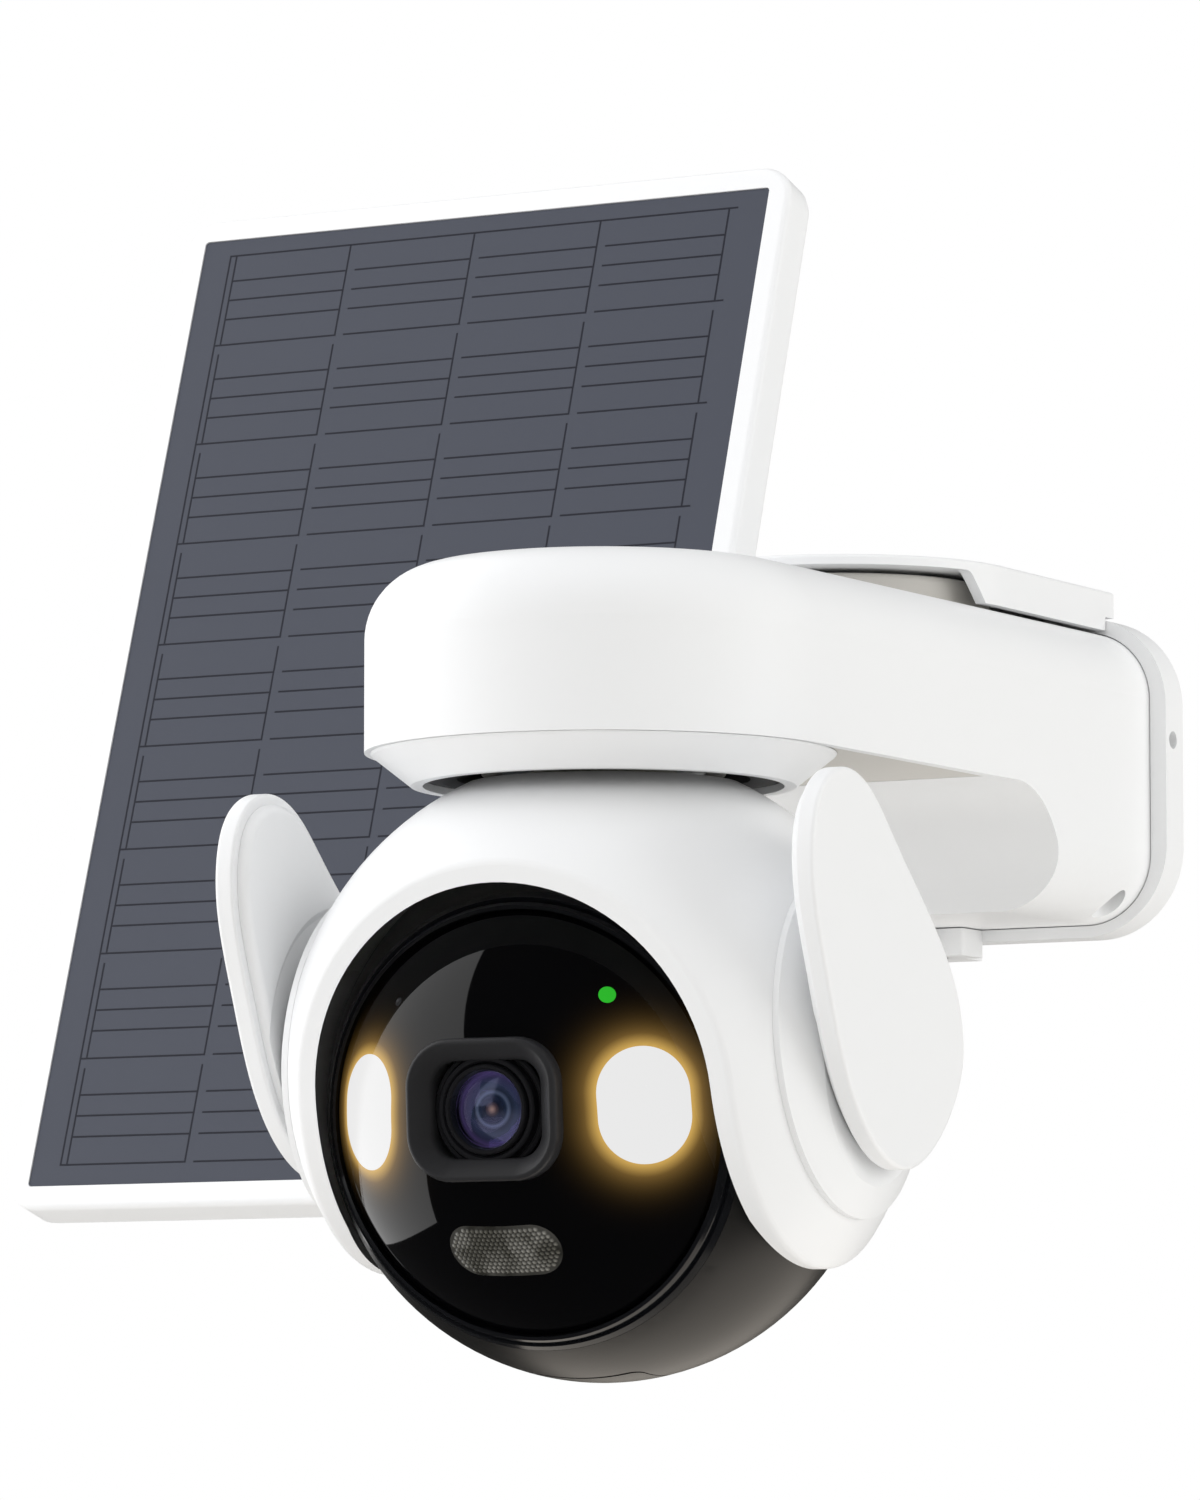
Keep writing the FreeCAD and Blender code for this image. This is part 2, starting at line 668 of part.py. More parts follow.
def ball_chassis():
    """Inner frame: a plate across the ball, posts for the sensor and the motor's bracket."""
    plate = ball(BALL_R - BALL_WALL - 0.02).common(box(-60, 60, -6.3, -4.6, -60, 60))
    for side in (-1, 1):
        plate = plate.cut(box(side * 34 - 10, side * 34 + 10, -8, 0, -14, 14))
    plate = plate.cut(box(-12, 12, -8, 0, -60, -28))
    plate = plate.fuse(box(8, 20, -5, TILT_PINION_Y - 8.5, -5, 5))
    plate = plate.cut(rod_x(10.02, 0, 30, TILT_PINION_Y, 0))
    for x, z in POST_PLACES:
        plate = plate.fuse(on_lens_axis(rod_y(1.6, -20.5, -5.6, x, z)))
    return plate.removeSplitter()


def speaker():
    cup = rod_y(13, 28.1, 33.1, 0, -14)
    return cup.fuse(rod_y(8, 24.0, 28.2, 0, -14)).removeSplitter()


def pivot_bush():
    ring = rod_x(6.95, 40.0, 44.2).fuse(rod_x(8.5, 39.5, 42.0))
    return ring.cut(rod_x(PIVOT_R + RUNNING_GAP, 30, 50)).removeSplitter()


def tilt_motor():
    can = rod_x(10, 8.0, 27.0, TILT_PINION_Y, 0)
    return can.cut(rod_x(2.0 + RUNNING_GAP, 19.0, 28.0, TILT_PINION_Y, 0))


def tilt_pinion():
    gear = gear_along_x(PINION_TEETH, 180 + 180 / PINION_TEETH)
    gear = gear.fuse(rod_x(2.0, 19.5, TILT_GEAR_X1))
    gear.translate(FreeCAD.Vector(0, TILT_PINION_Y, 0))
    return gear


def memory_card():
    return box(-5.5, 5.5, -12.1, -11.3, -39.4, -24.4)


def card_cover():
    flap = rounded_box(-9.9, 9.9, -13.6, -2.1, -60, -30, 2.0, Z)
    skin = ball(BALL_R).cut(ball(BALL_R - 1.2))
    return skin.common(flap)


def reset_button():
    cap = rod_z(1.5, -42.6, -37.0, 0, -6.0)
    return cap.fuse(rod_z(2.2, -39.2, -38.2, 0, -6.0)).removeSplitter()


# ---- bracket ----


def wall_base():
    block = rounded_box(-BASE_HALF_X, BASE_HALF_X, PLATE_REAR_Y, WALL_TO_PAN_AXIS,
                        BRACKET_CENTRE_ABOVE_BALL - BASE_HALF_Z,
                        BRACKET_CENTRE_ABOVE_BALL + BASE_HALF_Z, 8, Y)
    for x in (-WALL_HOLE_X, WALL_HOLE_X):
        for dz in (-WALL_HOLE_Z, WALL_HOLE_Z):
            z = BRACKET_CENTRE_ABOVE_BALL + dz
            block = block.cut(rod_y(WALL_HOLE_R, 120, 170, x, z))
            block = block.cut(rod_y(4.6, 120, 156, x, z))
    for x, z in plate_screw_places():
        block = block.cut(rod_y(1.6, 120, 144, x, z))
    return block.removeSplitter()


def plate_screw_places():
    centre = BRACKET_CENTRE_ABOVE_BALL
    return [(-7, centre - 14), (7, centre - 14), (-7, centre + 14), (7, centre + 14)]


def panel_arm():
    arm = rounded_box(PANEL_CENTRE_X, -BASE_HALF_X - 0.02, HINGE_Y - 4, HINGE_Y + 6,
                      PANEL_ARM_Z - 6, PANEL_ARM_Z + 6, 2.5, X)
    flange = rounded_box(-BASE_HALF_X - 4, -BASE_HALF_X - 0.02, HINGE_Y - 9, HINGE_Y + 11,
                         PANEL_ARM_Z - 11, PANEL_ARM_Z + 11, 3, X)
    eye = rod_z(9.0, PANEL_ARM_Z - 6, PANEL_ARM_Z + 6, PANEL_CENTRE_X, HINGE_Y)
    arm = fused([arm, flange, eye])
    return arm.cut(rod_z(4.0 + RUNNING_GAP, 40, 80, PANEL_CENTRE_X, HINGE_Y)).removeSplitter()


def mount_plate():
    outer = rounded_box(-PLATE_HALF_X, PLATE_HALF_X, PLATE_FRONT_Y, PLATE_REAR_Y - 0.02,
                        PLATE_LOW_Z, PLATE_HIGH_Z, PLATE_CORNER, Y)
    pocket = rounded_box(-BODY_HALF_X - 0.15, BODY_HALF_X + 0.15, 120, BODY_REAR_Y + 0.2,
                         BLOCK_BOTTOM_Z - 0.15, BODY_TOP_Z + 0.15, BODY_CORNER + 0.15, Y)
    tab = rounded_box(-7.3, 7.3, 115.5, 124.0, 31.7, BLOCK_BOTTOM_Z - 0.2, 0.8, Z)
    tab = tab.fuse(box(-3.8, 3.8, 123.0, PLATE_REAR_Y - 0.02, 31.7, BLOCK_BOTTOM_Z - 0.2))
    boss = rod_y(2.4, 113.2, 116.0, 0, 33.8)
    boss_edge = [edge for edge in boss.Edges if edge.BoundBox.YMax < 113.21]
    plate = outer.cut(pocket).fuse(tab).fuse(boss.makeFillet(1.2, boss_edge))
    plate = plate.cut(rod_z(2.1, 28, 40, 0, 120.0))
    for x, z in plate_screw_places():
        plate = plate.cut(rod_y(1.7, 125, 132, x, z)).cut(rod_y(3.0, 125, 129.35, x, z))
    return plate.cut(rod_x(1.55, -50, 50, 126.2, 68.9)).removeSplitter()


def plate_screws():
    screws = []
    for x, z in plate_screw_places():
        head = rod_y(2.9, 128.0, 129.3, x, z).cut(rod_y(1.2, 127, 128.7, x, z))
        screws.append(head.fuse(rod_y(1.55, 129.2, 142.0, x, z)).removeSplitter())
    return screws


def bottom_lock_screw():
    shaft = rod_z(2.0, 30.9, 42.5, 0, 120.0)
    tip = Part.makeCone(0.6, 2.0, 2.4, FreeCAD.Vector(0, 120.0, 28.5), Z)
    return shaft.fuse(tip).removeSplitter()


def hood_cap():
    outer = cap_outline(HOOD_CAP_HALF_X, CAP_SKIRT_Z, HOOD_CAP_TOP_Z)
    rim = [edge for edge in outer.Edges if edge.BoundBox.ZMin > HOOD_CAP_TOP_Z - 0.01]
    outer = outer.makeFillet(0.7, rim)
    room = cap_outline(HOOD_CAP_HALF_X - CAP_WALL, 80, HOOD_CAP_TOP_Z - 1.75)
    cap = outer.cut(room)
    ceiling = HOOD_CAP_TOP_Z - 1.75
    slope = (SKIRT_LOW_Y - SKIRT_FRONT_Y) / (ceiling - CAP_SKIRT_Z)
    low = SKIRT_LOW_Y + slope * (CAP_SKIRT_Z - 80)
    front = prism_x([(30, 80), (low, 80), (SKIRT_FRONT_Y, ceiling), (30, ceiling)], -60, 60)
    corner = [edge for edge in front.Edges if edge.BoundBox.ZMin > ceiling - 0.01
              and abs(edge.BoundBox.YMin - SKIRT_FRONT_Y) < 0.01 and edge.BoundBox.YLength < 0.01]
    cap = cap.cut(front.makeFillet(1.8, corner))
    cap = cap.cut(box(-60, 60, PLATE_FRONT_Y - 0.2, 140, 80, PLATE_HIGH_Z + 0.02))
    rear_wall = box(-HOOD_CAP_HALF_X, HOOD_CAP_HALF_X, HOOD_CAP_REAR_Y - 2.2, HOOD_CAP_REAR_Y,
                    PLATE_HIGH_Z + 0.02, HOOD_CAP_TOP_Z - 1.0)
    return cap.fuse(rear_wall).removeSplitter()


def cap_outline(half, z0, z1):
    arc = rod_z(half, z0, z1, 0, HOOD_CAP_ARC_Y)
    back = box(-half, half, HOOD_CAP_ARC_Y, HOOD_CAP_REAR_Y, z0, z1)
    return arc.fuse(back).removeSplitter()


# ---- panel ----

def panel_slab(inset, y0, y1, corner):
    width = PANEL_WIDTH / 2 - inset
    height = PANEL_HEIGHT / 2 - inset
    return rounded_box(-width, width, y0, y1, -height, height, corner, Y)


def panel_frame():
    frame = panel_slab(0, 0, PANEL_DEPTH - 2.0, PANEL_CORNER)
    front = [edge for edge in frame.Edges if edge.BoundBox.YMax < 0.01]
    frame = frame.makeFillet(1.2, front)
    frame = frame.cut(panel_slab(PANEL_BORDER, -1, 20, 0.8))
    return frame.cut(panel_slab(PANEL_BORDER - 2.4, 3.4, 20, 3.0)).removeSplitter()


def panel_glass():
    return panel_slab(PANEL_BORDER + 0.1, 0.25, 2.4, 0.7)


def solar_cells():
    margin = PANEL_BORDER + 5.2
    width = (PANEL_WIDTH - 2 * margin + CELL_GAP) / CELL_COLUMNS
    height = (PANEL_HEIGHT - 2 * margin + CELL_GAP) / CELL_ROWS
    cells = []
    for column in range(CELL_COLUMNS):
        for row in range(CELL_ROWS):
            x = -PANEL_WIDTH / 2 + margin + column * width
            z = -PANEL_HEIGHT / 2 + margin + row * height
            cells.append(box(x, x + width - CELL_GAP, 2.45, 2.75, z, z + height - CELL_GAP))
    return cells


def panel_back():
    back = panel_slab(0.4, PANEL_DEPTH - 1.95, PANEL_DEPTH, PANEL_CORNER - 0.4)
    rear = [edge for edge in back.Edges if edge.BoundBox.YMin > PANEL_DEPTH - 0.01]
    back = back.makeFillet(1.0, rear)
    lip = panel_slab(PANEL_BORDER - 2.2, 5.7, PANEL_DEPTH - 1.9, 2.8)
    lip = lip.cut(panel_slab(PANEL_BORDER - 0.2, 5.0, 20, 1.0))
    back = back.fuse(lip)
    for x, z in panel_screw_places():
        back = back.cut(rod_y(1.2, 5, 12, x, z)).cut(rod_y(2.3, PANEL_DEPTH - 1.0, 12, x, z))
    return back.removeSplitter()


def panel_screw_places():
    return [(x, z) for x in (-56.0, 56.0) for z in (-91.0, 0.0, 91.0)]


def panel_screws():
    screws = []
    for x, z in panel_screw_places():
        head = rod_y(2.1, PANEL_DEPTH - 0.98, PANEL_DEPTH - 0.1, x, z)
        head = head.cut(box(x - 1.3, x + 1.3, PANEL_DEPTH - 0.5, 12, z - 0.25, z + 0.25))
        screws.append(head.fuse(rod_y(1.1, 5.8, PANEL_DEPTH - 0.9, x, z)).removeSplitter())
    return screws


def junction_box():
    case = rounded_box(-19, 19, PANEL_DEPTH + 0.02, PANEL_DEPTH + 7.5, -78, -56, 3, Y)
    gland = rod_z(3.6, -83.5, -77, 0, PANEL_DEPTH + 4.0)
    return case.fuse(gland).cut(rod_z(1.8, -90, -76, 0, PANEL_DEPTH + 4.0)).removeSplitter()


HINGE_FROM_FACE = ((HINGE_Y - PANEL_FACE_Y) * math.cos(math.radians(PANEL_LEAN))
                   - (HINGE_Z - PANEL_CENTRE_Z) * math.sin(math.radians(PANEL_LEAN)))
HINGE_UP_PANEL = ((HINGE_Y - PANEL_FACE_Y) * math.sin(math.radians(PANEL_LEAN))
                  + (HINGE_Z - PANEL_CENTRE_Z) * math.cos(math.radians(PANEL_LEAN)))


def panel_fork():
    """Plate screwed to the panel's back, with two ears that hold the hinge bolt."""
    plate = rounded_box(-20, 20, PANEL_DEPTH + 0.02, PANEL_DEPTH + 3.0,
                        HINGE_UP_PANEL - 20, HINGE_UP_PANEL + 20, 4, Y)
    for side in (-1, 1):
        ear = rounded_box(side * 9.5 - 1.9, side * 9.5 + 1.9, PANEL_DEPTH + 1, HINGE_FROM_FACE,
                          HINGE_UP_PANEL - 8, HINGE_UP_PANEL + 8, 0.5, X)
        ear = ear.fuse(rod_x(8, side * 9.5 - 1.9, side * 9.5 + 1.9, HINGE_FROM_FACE,
                             HINGE_UP_PANEL))
        plate = plate.fuse(ear)
    plate = plate.cut(rod_x(HINGE_BOLT_R + 0.02, -30, 30, HINGE_FROM_FACE, HINGE_UP_PANEL))
    return plate.removeSplitter()


def hinge_bolt():
    bolt = rod_x(HINGE_BOLT_R, -14.5, 13.0, HINGE_FROM_FACE, HINGE_UP_PANEL)
    return bolt.fuse(rod_x(5.0, -15.5, -11.5, HINGE_FROM_FACE, HINGE_UP_PANEL)).removeSplitter()


def hinge_knob():
    knob = rod_x(7.5, 11.45, 17.5, HINGE_FROM_FACE, HINGE_UP_PANEL)
    for step in range(8):
        angle = math.radians(45 * step)
        y = HINGE_FROM_FACE + 9.2 * math.cos(angle)
        z = HINGE_UP_PANEL + 9.2 * math.sin(angle)
        knob = knob.cut(rod_x(2.6, 10, 20, y, z))
    bore = rod_x(HINGE_BOLT_R + RUNNING_GAP, 10, 13.2, HINGE_FROM_FACE, HINGE_UP_PANEL)
    return knob.cut(bore).removeSplitter()


def panel_knuckle():
    """Turns in the arm's eye on a vertical stem and carries the hinge bolt."""
    stem = rod_z(4.0, PANEL_ARM_Z - 8, PANEL_ARM_Z + 8)
    foot = rod_z(6.5, PANEL_ARM_Z - 9.5, PANEL_ARM_Z - 6.3)
    collar = rod_z(8.0, PANEL_ARM_Z + 6.3, PANEL_ARM_Z + 9.5)
    neck = rounded_box(-6.5, 6.5, -4.5, 4.5, PANEL_ARM_Z + 8, HINGE_Z, 2, Z)
    barrel = rod_x(6.5, -7.3, 7.3, 0, HINGE_Z)
    knuckle = fused([stem, foot, collar, neck, barrel])
    knuckle = knuckle.cut(rod_x(HINGE_BOLT_R + RUNNING_GAP, -10, 10, 0, HINGE_Z))
    knuckle.translate(FreeCAD.Vector(PANEL_CENTRE_X, HINGE_Y, 0))
    return knuckle


def save_bracket():
    save("wall_base", wall_base())
    save("panel_arm", panel_arm())
    save("mount_plate", mount_plate())
    save("plate_screws", plate_screws())
    save("bottom_lock_screw", bottom_lock_screw())
    save("bracket_hood", hood_cap())


def save_body():
    save("body_upper_shell", body_upper_shell())
    save("body_lower_cover", body_lower_cover())
    save("body_rear_cover", body_rear_cover())
    save("body_screws", body_screws())
    save("locating_hub", locating_hub())
    save("neck_ring", neck_ring())
    save("neck_seal", neck_seal())
    save("pan_bearing", pan_bearing())
    save("battery_cells", battery_cells())
    save("power_board", power_board())
    save("charging_port", charging_port())
    save("port_cover", port_cover())
    save("pan_motor", pan_motor())
    save("pan_pinion", pan_pinion())


def save_yoke():
    save_on_yoke("yoke_shell", yoke_shell())
    save_on_yoke("pan_gear", pan_gear())
    save_on_yoke("slip_ring", slip_ring())
    save_on_yoke("pivot_pins", [pivot_pin(), mirror_x(pivot_pin())])
    save_on_yoke("tilt_gear", tilt_gear())
    save_on_yoke("side_discs", [side_disc(), mirror_x(side_disc())])
    for name, shape in (("outer", antenna_outer()), ("inner", antenna_inner())):
        save_on_yoke("antenna_right_" + name, shape)
        save_on_yoke("antenna_left_" + name, mirror_x(shape))


def save_ball():
    save_on_ball("ball_rear_shell", ball_rear_shell())
    save_on_ball("front_bezel", front_bezel())
    save_on_ball("front_window", front_window())
    save_on_ball("spotlight_windows", spotlight_windows())
    save_on_ball("spotlight_boards", spotlight_boards())
    save_on_ball("motion_sensor_window", motion_sensor_window())
    save_on_ball("status_light", status_light())
    save_on_ball("lens_hood", lens_hood())
    save_on_ball("lens_barrel", lens_barrel())
    save_on_ball("lens_glass", lens_glass())
    save_on_ball("sensor_board", sensor_board())
    save_on_ball("main_board", main_board())
    save_on_ball("ball_chassis", ball_chassis())
    save_on_ball("speaker", speaker())
    save_on_ball("pivot_bushes", [pivot_bush(), mirror_x(pivot_bush())])
    save_on_ball("tilt_motor", tilt_motor())
    save_on_ball("tilt_pinion", tilt_pinion())
    save_on_ball("memory_card", memory_card())
    save_on_ball("card_cover", card_cover())
    save_on_ball("reset_button", reset_button())


def save_panel():
    save("panel_knuckle", panel_knuckle())
    save_on_panel("panel_frame", panel_frame())
    save_on_panel("panel_glass", panel_glass())
    save_on_panel("solar_cells", solar_cells())
    save_on_panel("panel_back", panel_back())
    save_on_panel("junction_box", junction_box())
    save_on_panel("panel_screws", panel_screws())
    save_on_panel("panel_fork", panel_fork())
    save_on_panel("hinge_bolt", hinge_bolt())
    save_on_panel("hinge_knob", hinge_knob())


os.makedirs("parts", exist_ok=True)
save_bracket()
save_body()
save_yoke()
save_ball()
save_panel()
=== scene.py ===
import bpy
import bmesh
import json
import math
from mathutils import Matrix, Vector


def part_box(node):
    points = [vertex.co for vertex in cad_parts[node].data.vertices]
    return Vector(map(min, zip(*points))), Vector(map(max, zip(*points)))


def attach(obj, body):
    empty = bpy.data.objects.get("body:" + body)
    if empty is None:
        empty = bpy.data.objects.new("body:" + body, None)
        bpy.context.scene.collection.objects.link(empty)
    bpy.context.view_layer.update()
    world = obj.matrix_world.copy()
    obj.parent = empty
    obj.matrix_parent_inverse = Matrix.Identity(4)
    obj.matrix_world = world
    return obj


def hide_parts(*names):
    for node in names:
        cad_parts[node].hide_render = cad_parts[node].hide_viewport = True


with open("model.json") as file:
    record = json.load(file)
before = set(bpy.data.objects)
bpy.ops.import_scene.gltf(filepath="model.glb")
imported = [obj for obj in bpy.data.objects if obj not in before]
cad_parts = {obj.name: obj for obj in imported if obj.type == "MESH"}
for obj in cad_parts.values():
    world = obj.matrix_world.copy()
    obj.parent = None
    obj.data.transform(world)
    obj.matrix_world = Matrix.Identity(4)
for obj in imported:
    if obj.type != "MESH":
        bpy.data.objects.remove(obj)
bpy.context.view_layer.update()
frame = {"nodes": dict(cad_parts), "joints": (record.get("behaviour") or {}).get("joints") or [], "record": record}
nodes = frame["nodes"]
joints = {joint["name"]: joint for joint in frame["joints"]}
mm = 0.001
print("frame loaded:", len(nodes), "parts")


def frameOf(place, xAxis, zAxis):
    yAxis = zAxis.cross(xAxis)
    turned = Matrix((xAxis, yAxis, zAxis)).transposed().to_4x4()
    return Matrix.Translation(place) @ turned


def turnX(degrees):
    return Matrix.Rotation(math.radians(degrees), 4, "X")


def turnZ(degrees):
    return Matrix.Rotation(math.radians(degrees), 4, "Z")


def middleOf(node):
    low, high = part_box(node)
    return (low + high) / 2


ballCentre = Vector(joints["tilt"]["pos_m"])
ballFrame = frameOf(ballCentre, Vector(joints["tilt"]["axis"]), Vector(joints["reset_press"]["axis"]))
optics = {"windowRadius": 43.9 * mm, "lensRise": 4.8, "spotTurn": 34.5, "sensorDrop": -26.2,
          "dotTurn": 28.5, "dotRise": 27.8}
lensFrame = ballFrame @ turnX(-optics["lensRise"])
panelLean = 17.8
panelFrame = Matrix.Translation(middleOf("panel_glass")) @ turnX(-panelLean)


def toLinear(hexColour):
    channels = [int(hexColour[i:i + 2], 16) / 255 for i in (1, 3, 5)]
    return [c / 12.92 if c <= 0.04045 else ((c + 0.055) / 1.055) ** 2.4 for c in channels] + [1.0]


def addNode(tree, kind, settings=None, links=None):
    node = tree.nodes.new(kind)
    for name, value in (settings or {}).items():
        if isinstance(name, int) or name in node.inputs:
            node.inputs[name].default_value = value
        else:
            setattr(node, name, value)
    for name, source in (links or {}).items():
        tree.links.new(source, node.inputs[name])
    return node


def newMaterial(name, colour, roughness, **sockets):
    material = bpy.data.materials.new(name)
    material.use_nodes = True
    tree = material.node_tree
    tree.nodes.clear()
    shader = addNode(tree, "ShaderNodeBsdfPrincipled",
                     {"Base Color": toLinear(colour), "Roughness": roughness})
    for socket, value in sockets.items():
        shader.inputs[socket.replace("_", " ")].default_value = value
    out = addNode(tree, "ShaderNodeOutputMaterial")
    tree.links.new(shader.outputs["BSDF"], out.inputs["Surface"])
    return material, tree, shader


def addGrain(tree, shader, grainMm, depthMm, roughness, spread):
    # moulded skins are never even: fine spark-eroded grain, and gloss that wanders a little
    place = addNode(tree, "ShaderNodeTexCoord").outputs["Object"]
    grain = addNode(tree, "ShaderNodeTexNoise", {"Scale": 1 / (grainMm * mm), "Detail": 2.0},
                    {"Vector": place})
    bump = addNode(tree, "ShaderNodeBump", {"Strength": 0.35, "Distance": depthMm * mm},
                   {"Height": grain.outputs["Fac"]})
    tree.links.new(bump.outputs["Normal"], shader.inputs["Normal"])
    cloud = addNode(tree, "ShaderNodeTexNoise", {"Scale": 45.0, "Detail": 3.0}, {"Vector": place})
    gloss = addNode(tree, "ShaderNodeMapRange", {"To Min": roughness - spread, "To Max": roughness + spread},
                    {"Value": cloud.outputs["Fac"]})
    tree.links.new(gloss.outputs["Result"], shader.inputs["Roughness"])


def mouldedPlastic(name, colour, roughness, grainMm=0.35, depthMm=0.012, spread=0.04):
    material, tree, shader = newMaterial(name, colour, roughness, IOR=1.52)
    addGrain(tree, shader, grainMm, depthMm, roughness, spread)
    return material


def metal(name, colour, roughness, brushMm=0.0):
    # plated or turned metal: a bright shine broken up by specks, or by streaks where it is brushed
    material, tree, shader = newMaterial(name, colour, roughness, Metallic=1.0)
    place = addNode(tree, "ShaderNodeTexCoord").outputs["Object"]
    stretch = (1.0, 1.0, 0.1) if brushMm else (1.0, 1.0, 1.0)
    fine = addNode(tree, "ShaderNodeMapping", {"Scale": stretch}, {"Vector": place})
    marks = addNode(tree, "ShaderNodeTexNoise", {"Scale": 1 / ((brushMm or 0.5) * mm), "Detail": 3.0},
                    {"Vector": fine.outputs["Vector"]})
    gloss = addNode(tree, "ShaderNodeMapRange", {"To Min": roughness - 0.06, "To Max": roughness + 0.1},
                    {"Value": marks.outputs["Fac"]})
    tree.links.new(gloss.outputs["Result"], shader.inputs["Roughness"])
    return material


def litPlastic(name, colour, strength, glow):
    # milky cover with the light on behind it: even and bright out to its edge
    material, tree, shader = newMaterial(name, colour, 0.25, IOR=1.49, Emission_Strength=strength)
    shader.inputs["Emission Color"].default_value = toLinear(glow)
    place = addNode(tree, "ShaderNodeTexCoord").outputs["Object"]
    haze = addNode(tree, "ShaderNodeTexNoise", {"Scale": 300.0, "Detail": 1.0}, {"Vector": place})
    gloss = addNode(tree, "ShaderNodeMapRange", {"To Min": 0.2, "To Max": 0.3},
                    {"Value": haze.outputs["Fac"]})
    tree.links.new(gloss.outputs["Result"], shader.inputs["Roughness"])
    return material


whiteAsa = mouldedPlastic("whiteAsaMoulded", "#f1f2f3", 0.40)
# a darker copy of the white ASA for the grey_lining parts: painted shade on the body's undersides and linings
paintedShadeAsa = mouldedPlastic("whiteAsaPaintedShade", "#cfccc6", 0.45)
blackPc = mouldedPlastic("blackPolycarbonateSatin", "#1b1a19", 0.36, spread=0.03)
blackGloss = mouldedPlastic("blackPolycarbonateGloss", "#101114", 0.16, grainMm=1.5, depthMm=0.002,
                            spread=0.02)
lensBlack = mouldedPlastic("anodisedLensBlack", "#17171a", 0.28, grainMm=0.2, depthMm=0.004)
hoodBlack = mouldedPlastic("paintedHoodBlack", "#2b2b2d", 0.38, grainMm=0.3, depthMm=0.006)
darkRubber = mouldedPlastic("siliconeRubberBlack", "#141415", 0.6, depthMm=0.02)
greyRubber = mouldedPlastic("siliconeRubberGrey", "#c9cacb", 0.55, depthMm=0.02)
nylonBlack = mouldedPlastic("glassFilledNylonBlack", "#18181a", 0.55, grainMm=0.6, depthMm=0.03)
acetal = mouldedPlastic("acetalNatural", "#dedbd0", 0.35)
cellWrap = mouldedPlastic("heatShrinkBlue", "#1f5f9c", 0.3, grainMm=4.0, depthMm=0.03)
boardGreen = mouldedPlastic("solderMaskGreen", "#12502c", 0.35, grainMm=0.8, depthMm=0.01)
zincSteel = metal("zincPlatedSteel", "#b9bbbd", 0.32)
groundSteel = metal("groundBearingSteel", "#c7c8ca", 0.2, 0.3)
pressedCan = metal("pressedSteelCan", "#b4b6b8", 0.35, 0.4)
turnedBrass = metal("turnedBrass", "#c9a25e", 0.3, 0.3)
litSpot = litPlastic("milkyAcrylicLit", "#2a2a2a", 0.80, "#ffffff")
litGreen = litPlastic("lightPipeGreenLit", "#0f7a12", 0.45, "#37d934")
print("plain materials made")

slotLooks = {
    "white_shell": whiteAsa, "grey_lining": paintedShadeAsa, "black_shell": blackPc, "black_trim": blackGloss,
    "dark_window": blackGloss, "lens_glass": lensBlack, "spot_diffuser": litSpot, "sensor_lens": lensBlack,
    "status_green": litGreen, "rubber_dark": darkRubber, "rubber_grey": greyRubber, "steel": zincSteel,
    "bearing_steel": groundSteel, "acetal": acetal, "battery_wrap": cellWrap, "circuit": boardGreen,
    "motor_can": pressedCan, "brass": turnedBrass, "panel_glass": blackPc, "solar_cell": blackPc,
    "knob_black": nylonBlack,
}


def dress(name, material):
    for slot in nodes[name].material_slots:
        slot.material = material


for subpart in frame["record"]["subparts"]:
    dress(subpart["node"], slotLooks[subpart["material_slot"]])


def newPiece(name, mesh, place, material, body, smooth=40.0):
    mesh.transform(place)
    if place.determinant() < 0:
        mesh.flip_normals()
    mesh.update()
    piece = bpy.data.objects.new(name, mesh)
    bpy.context.scene.collection.objects.link(piece)
    mesh.materials.clear()
    mesh.materials.append(material)
    for polygon in mesh.polygons:
        polygon.use_smooth = True
    mesh.set_sharp_from_angle(angle=math.radians(smooth))
    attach(piece, body)
    return piece


def lathe(profile, steps=96):
    # a dome or a solid of turning from (radius, y) pairs, turned about Y
    bm = bmesh.new()
    corners = [bm.verts.new((r, y, 0)) for r, y in profile]
    edges = [bm.edges.new((a, b)) for a, b in zip(corners, corners[1:])]
    bmesh.ops.spin(bm, geom=corners + edges, axis=(0, 1, 0), cent=(0, 0, 0), angle=math.tau,
                   steps=steps, use_duplicate=False)
    bmesh.ops.remove_doubles(bm, verts=bm.verts, dist=1e-6)
    bmesh.ops.recalc_face_normals(bm, faces=bm.faces)
    mesh = bpy.data.meshes.new("turned")
    bm.to_mesh(mesh)
    bm.free()
    return mesh


def roundedRectangle(width, height, corner, steps=10):
    points = []
    for quarter, (sx, sz) in enumerate(((1, 1), (-1, 1), (-1, -1), (1, -1))):
        for step in range(steps + 1):
            angle = math.radians(90 * quarter + 90 * step / steps)
            points.append((sx * (width / 2 - corner) + corner * math.cos(angle),
                           sz * (height / 2 - corner) + corner * math.sin(angle)))
    return points


def loft(rings, closed):
    # rings of the same number of points, joined one to the next
    bm = bmesh.new()
    loops = [[bm.verts.new(point) for point in ring] for ring in rings]
    pairs = list(zip(loops, loops[1:]))
    if closed:
        pairs.append((loops[-1], loops[0]))
    for first, second in pairs:
        count = len(first)
        for i in range(count):
            bm.faces.new((first[i], first[(i + 1) % count], second[(i + 1) % count], second[i]))
    if not closed:
        bm.faces.new(list(reversed(loops[0])))
        bm.faces.new(loops[-1])
    bmesh.ops.recalc_face_normals(bm, faces=bm.faces)
    mesh = bpy.data.meshes.new("lofted")
    bm.to_mesh(mesh)
    bm.free()
    return mesh


def newTree(name, inputs):
    tree = bpy.data.node_groups.new(name, "GeometryNodeTree")
    for title, kind, value in inputs:
        socket = tree.interface.new_socket(title, in_out="INPUT", socket_type=kind)
        if value is not None:
            socket.default_value = value
    tree.interface.new_socket("Geometry", in_out="OUTPUT", socket_type="NodeSocketGeometry")
    return tree, addNode(tree, "NodeGroupInput"), addNode(tree, "NodeGroupOutput")


